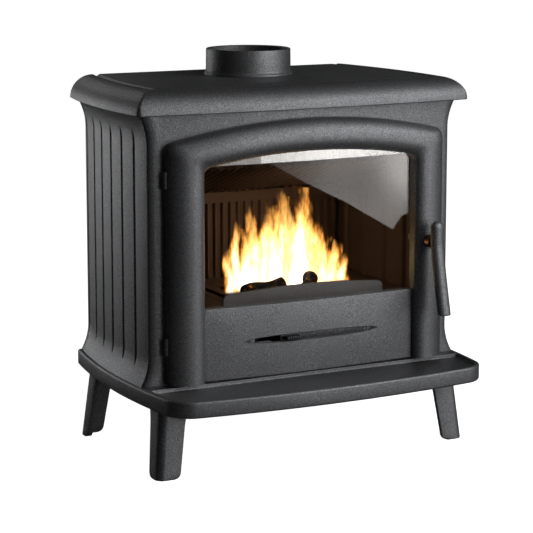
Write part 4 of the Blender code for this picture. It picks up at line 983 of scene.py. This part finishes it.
class STOVE_OT_air_slide(bpy.types.Operator):
    """Make the air slider and its ribbed knob"""
    bl_idname = "stove.air_slide"
    bl_label = "Air slide"

    def execute(self, context):
        outline = oblong(SLIDER_LOW.x, SLIDER_HIGH.x, SLIDER_LOW.z, SLIDER_HIGH.z)
        levels = [[(x, y, z) for x, z in outline] for y in (SLIDER_LOW.y, SLIDER_HIGH.y)]
        plate = stack("air_slider_plate", levels)
        # The slider and its knob take the darker iron, painted shade of the slot's recess.
        place(facing(soften(plate, 0.0005, 2)), "air_slide", "air_slider", "shaded_slider_iron")
        low, high = KNOB_LOW, KNOB_HIGH
        ribs = 6
        top = []
        for k in range(ribs):
            start = low.x + 0.001 + (high.x - low.x - 0.002) * k / ribs
            width = (high.x - low.x - 0.002) / ribs
            top += [(start, low.y + 0.0009), (start + width * 0.2, low.y), (start + width * 0.6, low.y),
                    (start + width * 0.8, low.y + 0.0009)]
        section = [(low.x, high.y), (low.x, low.y + 0.0015)] + top
        section += [(high.x, low.y + 0.0015), (high.x, high.y)]
        knob = stack("air_slider_grip", [at(section, low.z), at(section, high.z)])
        place(facing(soften(knob, 0.0004, 2)), "air_slide", "air_slider_knob", "shaded_slider_iron", "steel")
        return {"FINISHED"}


class STOVE_OT_handle(bpy.types.Operator):
    """Make the handle's lever and its browned shaft"""
    bl_idname = "stove.handle"
    bl_label = "Handle"

    def execute(self, context):
        middle = (SHAFT_LOW + SHAFT_HIGH) / 2
        reach = LEVER_HIGH.y
        width = 0.023
        thick = 0.019
        above = LEVER_HIGH.z - middle.z
        below = middle.z - LEVER_LOW.z
        stations = []
        for angle in spread(0.10, pi / 2, 12):
            stations.append((above - width / 2 * (1 - cos(angle)), sin(angle)))
        for rise in spread(above - width * 0.5, -below + 0.003, 26)[1:]:
            stations.append((rise, 1.0))
        stations += [(-below + 0.0012, 0.985), (-below + 0.0003, 0.94), (-below, 0.86)]
        levels = []
        for rise, share in stations:
            down = max(0.0, -rise) / below
            sweep = 0.021 * down ** 1.15
            shift = 0.004 * down
            level = []
            for k in range(32):
                angle = 2 * pi * k / 32
                x = middle.x + shift + width / 2 * share * cos(angle)
                squared = abs(sin(angle)) ** 0.85 * (1 if sin(angle) > 0 else -1)
                y = reach - sweep - thick / 2 + thick / 2 * share * squared
                level.append((x, y, middle.z + rise))
            levels.append(level)
        lever = stack("handle_lever_casting", levels)
        place(facing(lever), "handle", "handle_lever", "stove_iron", angle=50.0)
        rise = context.scene.stove_shape.bead_rise
        radius = SHAFT_HIGH.x - middle.x
        crest = FRONT_Y + bow(middle.x) - STANDOFF - DOOR_EDGE - rise - 0.0009
        neck = crest - SHAFT_LOW.y
        total = SHAFT_HIGH.y - SHAFT_LOW.y
        spindle = 0.006
        profile = [(0, radius - 0.001), (0.0006, radius - 0.0002), (0.0014, radius), (neck - 0.0008, radius),
                   (neck, radius - 0.0008), (neck, spindle),
                   (total - 0.0008, spindle), (total, spindle - 0.0008)]
        shaft = turned("handle_shaft_turned", (middle.x, SHAFT_LOW.y, middle.z), (0, 1, 0), profile)
        place(facing(shaft), "handle", "handle_shaft", "browned_steel", "steel", 40.0)
        return {"FINISHED"}


class STOVE_OT_fittings(bpy.types.Operator):
    """Finish the fittings, which keep the plain shape they have in the frame"""
    bl_idname = "stove.fittings"
    bl_label = "Fittings"

    def execute(self, context):
        slots = {part["node"]: part["material_slot"] for part in frame["record"]["subparts"]}
        finishes = {"cast_iron": "stove_iron", "firebox_iron": "firebox_iron", "steel": "plain_steel",
                    "sheet_steel": "sheet_steel", "gasket_rope": "gasket_rope",
                    "door_glass": "ceramic_glass"}
        for name, part in frame["nodes"].items():
            part.data.materials.clear()
            part.data.materials.append(bpy.data.materials[finishes[slots[name]]])
        return {"FINISHED"}


def ribbed(start, end, face, rise, pitch, share):
    """Points (along, height) of a wall with flat-topped ribs of some share of their pitch."""
    count = max(1, round((end - start) / pitch))
    step = (end - start) / count
    points = [(start, face)]
    for k in range(count):
        middle = start + step * (k + 0.5)
        half = step * share / 2
        for aside, high in ((-1, 0.0), (-0.55, 0.8), (-0.3, 1.0), (0.3, 1.0), (0.55, 0.8), (1, 0.0)):
            points.append((middle + half * aside, face + rise * high))
    points.append((end, face))
    return points


class STOVE_OT_firebox(bpy.types.Operator):
    """Cast the ribbed firebox walls and baffle, and the log guard"""
    bl_idname = "stove.firebox"
    bl_label = "Firebox castings"

    def execute(self, context):
        low, high = LINER_LOW, LINER_HIGH
        for side, hand in ((-1, "left"), (1, "right")):
            wall = ribbed(low.y, high.y, low.x + 0.006, -0.006, 0.063, 0.14)
            section = [(side * x, y) for y, x in wall] + [(side * high.x, high.y), (side * high.x, low.y)]
            piece = stack("liner_%s_casting" % hand, [at(section, z) for z in (low.z, high.z)])
            place(facing(piece), "stove", "liner_%s" % hand, "firebox_iron", "firebox_iron")
        self.back_wall()
        self.baffle()
        self.guard()
        return {"FINISHED"}

    def back_wall(self):
        low, high = BACK_LINER_LOW, BACK_LINER_HIGH
        wall = ribbed(low.x, high.x, low.y + 0.006, -0.006, 0.0156, 0.5)
        section = wall + [(high.x, high.y), (low.x, high.y)]
        piece = stack("liner_back_casting", [at(section, z) for z in (low.z, high.z)])
        bar_low = BAFFLE_LOW.z - 0.022
        bar = oblong(low.x, high.x, low.y - 0.0015, high.y - 0.001)
        carve(piece, stack("bar", [at(bar, bar_low), at(bar, bar_low + 0.019)]), "UNION")
        place(facing(piece), "stove", "liner_back", "firebox_iron", "firebox_iron")

    def baffle(self):
        """The plate over the fire, its ribs along the slope on its underside."""
        low, high = BAFFLE_LOW, BAFFLE_HIGH
        tilt = radians(20.0)
        thick = 0.010
        up = Vector((0, -cos(tilt), sin(tilt)))
        out = Vector((0, sin(tilt), cos(tilt)))
        length = (high.y - low.y - thick * sin(tilt)) / cos(tilt)
        base = Vector((0, high.y - thick * sin(tilt), low.z))
        section = ribbed(low.x, high.x, 0.004, -0.004, 0.0156, 0.5) + [(high.x, thick), (low.x, thick)]
        levels = []
        for t in (0.0, length):
            levels.append([tuple(base + up * t + out * rise + Vector((x, 0, 0))) for x, rise in section])
        piece = stack("baffle_casting", levels)
        place(facing(piece), "stove", "baffle_plate", "firebox_iron", "firebox_iron")

    def guard(self):
        low, high = GUARD_LOW, GUARD_HIGH
        outline = arch(high.x, low.z, high.z, 1.4, 0.010, 4, 8, 24)
        guard = front_solid("log_guard_casting", outline, -0.019, -0.013)
        bend(soften(guard, 0.001, 3))
        place(facing(guard), "log_guard", "log_guard", "guard_iron", "firebox_iron")


# ---------------------------------------------------------------- fire

def flame_group():
    """Colour and mask of one tongue of flame from its own map: U across it, V from foot to tip."""
    tree = bpy.data.node_groups.new("flame_tongue", "ShaderNodeTree")
    tree.interface.new_socket("Map", in_out="INPUT", socket_type="NodeSocketVector")
    tree.interface.new_socket("Place", in_out="INPUT", socket_type="NodeSocketVector")
    tree.interface.new_socket("Colour", in_out="OUTPUT", socket_type="NodeSocketColor")
    tree.interface.new_socket("Mask", in_out="OUTPUT", socket_type="NodeSocketFloat")
    inside = node(tree, "NodeGroupInput")
    outside = node(tree, "NodeGroupOutput")
    split = node(tree, "ShaderNodeSeparateXYZ")
    feed(tree, split.inputs[0], inside.outputs["Map"])
    rise = split.outputs[1]
    stretch = node(tree, "ShaderNodeMapping")
    feed(tree, stretch.inputs["Vector"], inside.outputs["Place"])
    stretch.inputs["Scale"].default_value = (1.0, 1.0, 0.28)
    lick = noise_of(tree, stretch.outputs["Vector"], 75.0, 2.5, 0.55)
    streak = noise_of(tree, stretch.outputs["Vector"], 190.0, 2.0)
    doubled = sums(tree, "MULTIPLY", split.outputs[0], 2.0)
    across = sums(tree, "ABSOLUTE", sums(tree, "SUBTRACT", doubled, 1.0), 0.0)
    ragged = sums(tree, "MULTIPLY", sums(tree, "SUBTRACT", lick, 0.5), sums(tree, "ADD", rise, 0.35))
    wide = sums(tree, "ADD", across, sums(tree, "MULTIPLY", ragged, 1.9))
    edge = span(tree, wide, 0.42, 0.86, 1.0, 0.0)
    tip = span(tree, sums(tree, "ADD", rise, sums(tree, "MULTIPLY", ragged, 0.6)), 0.55, 0.98, 1.0, 0.0)
    foot = span(tree, rise, 0.0, 0.10)
    body = sums(tree, "MULTIPLY", sums(tree, "MULTIPLY", edge, tip), foot)
    veil = span(tree, streak, 0.25, 0.6, 0.34, 0.62)
    feed(tree, outside.inputs["Mask"], sums(tree, "MULTIPLY", body, veil))
    core = span(tree, wide, 0.0, 0.75, 1.0, 0.0)
    heat = sums(tree, "MULTIPLY", core, span(tree, rise, 0.15, 0.95, 1.0, 0.12))
    ramp = node(tree, "ShaderNodeValToRGB")
    feed(tree, ramp.inputs["Fac"], heat)
    stops = ramp.color_ramp.elements
    stops[0].position, stops[0].color = 0.0, (0.62, 0.20, 0.03, 1.0)
    stops[1].position, stops[1].color = 1.0, (1.0, 0.995, 0.94, 1.0)
    for place_of, colour in ((0.16, (0.90, 0.42, 0.09, 1.0)), (0.40, (1.0, 0.68, 0.24, 1.0)),
                             (0.66, (1.0, 0.91, 0.64, 1.0))):
        made = stops.new(place_of)
        made.color = colour
    feed(tree, outside.inputs["Colour"], ramp.outputs["Color"])
    return tree


def flame_material():
    tree, shader, where = start_material("flame")
    group = node(tree, "ShaderNodeGroup", node_tree=flame_group())
    feed(tree, group.inputs["Map"], node(tree, "ShaderNodeUVMap").outputs["UV"])
    feed(tree, group.inputs["Place"], where)
    shader.inputs["Base Color"].default_value = (0.0, 0.0, 0.0, 1.0)
    shader.inputs["Specular IOR Level"].default_value = 0.0
    shader.inputs["Roughness"].default_value = 1.0
    shader.inputs["Emission Strength"].default_value = 3.4
    feed(tree, shader.inputs["Emission Color"], group.outputs["Colour"])
    feed(tree, shader.inputs["Alpha"], group.outputs["Mask"])
    return bpy.data.materials["flame"]


def charred_material():
    tree, shader, where = start_material("charred_wood")
    cracks = node(tree, "ShaderNodeTexVoronoi", feature="DISTANCE_TO_EDGE")
    feed(tree, cracks.inputs["Vector"], where)
    cracks.inputs["Scale"].default_value = 110.0
    grain = noise_of(tree, where, 90.0, 4.0, 0.65)
    feed(tree, shader.inputs["Base Color"], blend_colours(
        tree, span(tree, grain, 0.4, 0.75), (0.010, 0.007, 0.005, 1.0), (0.060, 0.030, 0.016, 1.0)))
    shader.inputs["Roughness"].default_value = 0.9
    shader.inputs["Emission Strength"].default_value = 1.0
    open_cracks = span(tree, cracks.outputs["Distance"], 0.0, 0.05, 1.0, 0.0)
    glow = sums(tree, "MULTIPLY", open_cracks, span(tree, grain, 0.5, 0.7))
    feed(tree, shader.inputs["Emission Color"],
         blend_colours(tree, glow, (0, 0, 0, 1), (1.0, 0.34, 0.06, 1.0)))
    bump(tree, shader, sums(tree, "ADD", cracks.outputs["Distance"], grain), 0.9, 0.003)
    return bpy.data.materials["charred_wood"]


class STOVE_OT_fire(bpy.types.Operator):
    """Set a fire of flame tongues over charred logs, and its glow, as part of the stage"""
    bl_idname = "stove.fire"
    bl_label = "Fire"

    height: bpy.props.FloatProperty(
        name="Height", description="Height of the tallest tongue", default=0.192, unit="LENGTH")

    def execute(self, context):
        flames = flame_material()
        bed = HEARTH_HIGH.z + 0.004
        across = Vector((cos(radians(27.0)), -sin(radians(27.0)), 0.0))
        tall = self.height
        tongues = []
        for x, share, width, lean in (
                (0.050, 1.00, 0.075, 0.012), (0.066, 0.92, 0.055, -0.004), (0.028, 0.95, 0.065, -0.010),
                (0.040, 0.84, 0.080, 0.000), (0.074, 0.80, 0.055, 0.010), (0.012, 0.80, 0.060, -0.006),
                (-0.016, 0.84, 0.050, 0.004), (-0.033, 0.80, 0.050, -0.006), (-0.002, 0.68, 0.060, 0.004),
                (-0.066, 0.72, 0.034, -0.004), (-0.052, 0.60, 0.050, 0.006), (0.090, 0.62, 0.055, 0.006),
                (0.104, 0.48, 0.050, 0.008), (0.120, 0.44, 0.042, 0.008), (0.141, 0.30, 0.036, 0.006),
                (-0.078, 0.42, 0.036, -0.004), (0.130, 0.26, 0.050, 0.004), (-0.040, 0.52, 0.060, 0.000)):
            tongues.append((x, share * tall, width, lean))
        for x, share, width in (
                (0.045, 0.74, 0.130), (0.030, 0.62, 0.150), (0.060, 0.58, 0.130), (-0.025, 0.56, 0.100),
                (0.000, 0.50, 0.140), (0.085, 0.50, 0.120), (0.110, 0.34, 0.110), (-0.050, 0.40, 0.085),
                (0.045, 0.46, 0.170), (0.020, 0.40, 0.180), (0.075, 0.34, 0.180)):
            tongues.append((x, share * tall, width, 0.0))
        for k, (x, height, width, lean) in enumerate(tongues):
            deep = 0.010 + 0.045 * (k * 0.618 % 1.0)
            start = Vector((x + (deep - 0.03) * 0.52, deep, bed))
            self.tongue("flame_%02d" % k, start, across, height, width, lean, k, flames)
        self.logs(bed, charred_material())
        data = bpy.data.lights.new("fire_glow", "POINT")
        data.energy = 0.8
        data.color = (1.0, 0.86, 0.72)
        data.shadow_soft_size = 0.05
        glow = bpy.data.objects.new("fire_glow", data)
        bpy.context.collection.objects.link(glow)
        glow.location = (0.035, 0.02, bed + 0.085)
        glow.visible_camera = False
        glow.visible_glossy = False
        glow.visible_transmission = False
        return {"FINISHED"}

    def tongue(self, name, start, across, height, width, lean, phase, flames):
        bpy.ops.object.select_all(action="DESELECT")
        bpy.ops.mesh.primitive_grid_add(x_subdivisions=6, y_subdivisions=24, size=2)
        sheet = named(bpy.context.object, name)
        for vert in sheet.data.vertices:
            side, rise = vert.co.x, (vert.co.y + 1) / 2
            sway = lean * rise + 0.006 * sin(5.5 * rise + phase * 1.7) * rise
            half = width / 2 * (1.0 - 0.62 * rise)
            vert.co = start + across * (side * half + sway) + Vector((0, 0, rise * height))
        sheet.data.materials.append(flames)
        sheet.visible_diffuse = False
        sheet.visible_glossy = False
        sheet.visible_shadow = False

    def logs(self, bed, char):
        for k, (middle, axis, length, radius) in enumerate((
                ((-0.050, -0.038, 0.017), (1.0, 0.10, 0.07), 0.078, 0.016),
                ((0.048, -0.020, 0.014), (0.6, 0.8, 0.28), 0.05, 0.014))):
            along = Vector(axis).normalized()
            start = Vector((middle[0], middle[1], bed + middle[2])) - along * length / 2
            profile = [(length * t, radius * (0.86 + 0.14 * sin(7 * t + k))) for t in spread(0.0, 1.0, 10)]
            log = turned("fire_log_%d" % k, tuple(start), tuple(along), profile, 20)
            log.data.materials.append(char)


# ---------------------------------------------------------------- stage

def aim(thing, target):
    direction = Vector(target) - thing.location
    thing.rotation_euler = direction.to_track_quat("-Z", "Y").to_euler()


def soft_light(name, location, target, size, power, colour=(1, 1, 1)):
    data = bpy.data.lights.new(name, "AREA")
    data.shape = "RECTANGLE"
    data.size, data.size_y = size
    data.energy = power
    data.color = colour
    light = bpy.data.objects.new(name, data)
    bpy.context.collection.objects.link(light)
    light.location = location
    aim(light, target)
    return light


LIGHTS = (
    ("key_light", (2.0, -1.8, 2.0), (1.2, 1.2), 35.0),
    ("low_key_light", (2.1, -1.9, 0.5), (1.2, 1.2), 9.0),
    ("front_light", (1.0, -2.6, 1.2), (1.2, 1.2), 20.0),
    ("low_front_light", (1.1, -2.3, 0.25), (1.2, 0.6), 8.8),
    ("back_left_light", (-1.2, 2.5, 0.5), (1.2, 1.0), 11.0),
    ("back_light", (-0.4, 2.6, 1.9), (1.2, 1.0), 4.6),
    ("top_light", (0.2, -1.4, 2.6), (1.4, 1.0), 6.0),
)


CAMERA_PLACE = (-1.5804, -3.0197, 0.9507)
CARD_GAP = 0.004


class STOVE_OT_reflections(bpy.types.Operator):
    """Hang the bright cards that the door's glass mirrors; nothing else shows them"""
    bl_idname = "stove.reflections"
    bl_label = "Reflections in the glass"

    def execute(self, context):
        edge = 0.202
        low, high = 0.513, 0.56
        split = -0.092
        haze = [(-0.074, 0.512), (-0.007, 0.475), (0.064, 0.440), (0.174, 0.378), (0.178, 0.394),
                (0.186, 0.405), (edge, 0.409), (edge, low)]
        self.card("haze_card", haze,
                  ((0.20, 0.50, 4.6), (0.10, 0.46, 1.6), (-0.07, 0.51, 0.55), (0.17, 0.385, 1.7)))
        self.card("band_card", oblong(split, edge, low, high),
                  ((-0.09, 0.52, 8.0), (0.05, 0.53, 11.0), (0.2, 0.52, 8.5)))
        self.card("dim_band_card", oblong(-edge, split, low, high), ((-0.2, 0.52, 2.2), (-0.1, 0.53, 3.4)))
        # A black card, farther from the glass than the bright ones, which the glass mirrors over the whole
        # window in place of the lamps: painted shade in the reflection.
        self.card("dark_card", oblong(-0.215, 0.215, 0.26, 0.57), ((0.0, 0.4, 0.0),), 2 * CARD_GAP)
        return {"FINISHED"}

    def mirrored(self, x, z, gap):
        """Where a ray from the camera goes after it meets the outer face of the glass at x, z."""
        point = Vector((x, GLASS_LOW.y + bow(x), z))
        normal = Vector((x / FRONT_RADIUS, -1.0, 0.0)).normalized()
        leaves = (point - Vector(CAMERA_PLACE)).normalized().reflect(normal)
        return point + leaves * (gap / leaves.dot(normal))

    def card(self, name, outline, glows, gap=CARD_GAP):
        bpy.ops.object.select_all(action="DESELECT")
        bpy.ops.mesh.primitive_grid_add(x_subdivisions=2 * len(outline), y_subdivisions=12, size=2)
        card = named(bpy.context.object, name)
        self.lay_out(card, outline, gap)
        paint = card.data.attributes.new("glow", "FLOAT", "POINT")
        for k, (x, z) in enumerate(self.spots):
            weights = [1.0 / (0.0005 + (x - gx) ** 2 + (z - gz) ** 2) ** 1.5 for gx, gz, _ in glows]
            paint.data[k].value = sum(w * g[2] for w, g in zip(weights, glows)) / sum(weights)
        card.data.materials.append(self.material())
        card.visible_camera = False
        card.visible_diffuse = False
        card.visible_shadow = False

    def lay_out(self, card, outline, gap):
        """Lays a grid into an outline on the glass, from its lower edge to the top, and mirrors it out."""
        top = max(z for x, z in outline)
        low_x = min(x for x, z in outline)
        high_x = max(x for x, z in outline)
        self.spots = []
        for vert in card.data.vertices:
            x = low_x + (high_x - low_x) * min(1.0, max(0.0, (vert.co.x + 1) / 2))
            edge = edge_height(outline, x)
            z = edge + (top - edge) * (vert.co.y + 1) / 2
            self.spots.append((x, z))
            vert.co = self.mirrored(x, z, gap)

    def material(self):
        if "reflection_card" in bpy.data.materials:
            return bpy.data.materials["reflection_card"]
        tree, shader = start_material("reflection_card")[:2]
        shader.inputs["Base Color"].default_value = (0.0, 0.0, 0.0, 1.0)
        shader.inputs["Specular IOR Level"].default_value = 0.0
        glow = node(tree, "ShaderNodeAttribute", attribute_name="glow")
        shader.inputs["Emission Color"].default_value = (1.0, 0.99, 0.97, 1.0)
        feed(tree, shader.inputs["Emission Strength"], glow.outputs["Fac"])
        feed(tree, shader.inputs["Alpha"], node(tree, "ShaderNodeLightPath").outputs["Is Singular Ray"])
        return bpy.data.materials["reflection_card"]


def edge_height(outline, x):
    """Lowest height of a closed outline at x."""
    heights = []
    for (x0, z0), (x1, z1) in zip(outline, outline[1:] + outline[:1]):
        if min(x0, x1) - 0.000001 <= x <= max(x0, x1) + 0.000001:
            heights.append(z0 if x0 == x1 else z0 + (z1 - z0) * (x - x0) / (x1 - x0))
    return min(heights)


class STOVE_OT_stage(bpy.types.Operator):
    """Set the floor, the room light, the soft lights and the camera"""
    bl_idname = "stove.stage"
    bl_label = "Stage"

    def execute(self, context):
        stage = context.scene.stove_stage
        context.scene.view_settings.view_transform = "Standard"
        self.floor()
        self.room(stage.sky)
        for name, location, size, power in LIGHTS:
            soft_light(name, location, (0, 0, 0.36), size, power * stage.light)
        self.camera(stage)
        return {"FINISHED"}

    def floor(self):
        bpy.ops.object.select_all(action="DESELECT")
        bpy.ops.mesh.primitive_plane_add(size=40)
        floor = named(bpy.context.object, "floor")
        floor.data.materials.append(self.floor_material())

    def floor_material(self):
        """White to look at, pale grey to the light that falls on it."""
        tree, shader = start_material("pale_floor")[:2]
        path = node(tree, "ShaderNodeLightPath")
        light, dark = (0.75, 0.75, 0.75, 1.0), (0.03, 0.03, 0.03, 1.0)
        colour = blend_colours(tree, path.outputs["Is Glossy Ray"], light, dark)
        feed(tree, shader.inputs["Base Color"], colour)
        shader.inputs["Roughness"].default_value = 0.9
        shader.inputs["Specular IOR Level"].default_value = 0.0
        shader.inputs["Emission Color"].default_value = (1.0, 1.0, 1.0, 1.0)
        feed(tree, shader.inputs["Emission Strength"], path.outputs["Is Camera Ray"])
        return bpy.data.materials["pale_floor"]

    def room(self, strength):
        """A white room to look at, which gives only a little light."""
        world = bpy.data.worlds.new("room")
        bpy.context.scene.world = world
        world.use_nodes = True
        tree = world.node_tree
        tree.nodes.clear()
        seen = node(tree, "ShaderNodeBackground")
        seen.inputs["Color"].default_value = (1, 1, 1, 1)
        seen.inputs["Strength"].default_value = 1.0
        lit = node(tree, "ShaderNodeBackground")
        lit.inputs["Color"].default_value = (1, 1, 1, 1)
        lit.inputs["Strength"].default_value = strength
        mix = node(tree, "ShaderNodeMixShader")
        path = node(tree, "ShaderNodeLightPath")
        feed(tree, mix.inputs["Fac"], path.outputs["Is Camera Ray"])
        tree.links.new(lit.outputs[0], mix.inputs[1])
        tree.links.new(seen.outputs[0], mix.inputs[2])
        tree.links.new(mix.outputs[0], node(tree, "ShaderNodeOutputWorld").inputs["Surface"])

    def camera(self, stage):
        data = bpy.data.cameras.new("camera")
        data.lens = stage.lens
        data.sensor_width = 36.0
        data.shift_y = -0.10
        data.clip_end = 100.0
        camera = bpy.data.objects.new("camera", data)
        bpy.context.collection.objects.link(camera)
        camera.location = CAMERA_PLACE
        camera.rotation_euler = (pi / 2 - stage.tilt, 0.0, stage.azimuth)
        bpy.context.scene.camera = camera


CLASSES = (
    StoveShape, StoveFinish, StoveStage, STOVE_OT_finishes, STOVE_OT_tray, STOVE_OT_lid,
    STOVE_OT_sides, STOVE_OT_front, STOVE_OT_collar, STOVE_OT_legs, STOVE_OT_door, STOVE_OT_glass,
    STOVE_OT_air_slide, STOVE_OT_handle, STOVE_OT_fittings, STOVE_OT_firebox, STOVE_OT_fire,
    STOVE_OT_reflections, STOVE_OT_stage,
)
STEPS = ("finishes", "fittings", "tray", "lid", "sides", "front", "collar", "legs", "door", "glass",
         "air_slide", "handle", "firebox", "fire", "reflections", "stage")


class STOVE_PT_panel(bpy.types.Panel):
    """The steps that build the stove, in the sidebar"""
    bl_label = "Wood stove"
    bl_idname = "STOVE_PT_panel"
    bl_space_type = "VIEW_3D"
    bl_region_type = "UI"
    bl_category = "Stove"

    def draw(self, context):
        column = self.layout.column(align=True)
        for step in STEPS:
            column.operator("stove." + step)
        for group in (context.scene.stove_shape, context.scene.stove_finish, context.scene.stove_stage):
            box = self.layout.box()
            for name in group.__annotations__:
                box.prop(group, name)


def register():
    for made in CLASSES + (STOVE_PT_panel,):
        bpy.utils.register_class(made)
    bpy.types.Scene.stove_shape = bpy.props.PointerProperty(type=StoveShape)
    bpy.types.Scene.stove_finish = bpy.props.PointerProperty(type=StoveFinish)
    bpy.types.Scene.stove_stage = bpy.props.PointerProperty(type=StoveStage)


def unregister():
    del bpy.types.Scene.stove_shape
    del bpy.types.Scene.stove_finish
    del bpy.types.Scene.stove_stage
    for made in reversed(CLASSES + (STOVE_PT_panel,)):
        bpy.utils.unregister_class(made)


def main():
    register()
    for step in STEPS:
        getattr(bpy.ops.stove, step)()


if __name__ == "__main__":
    main()
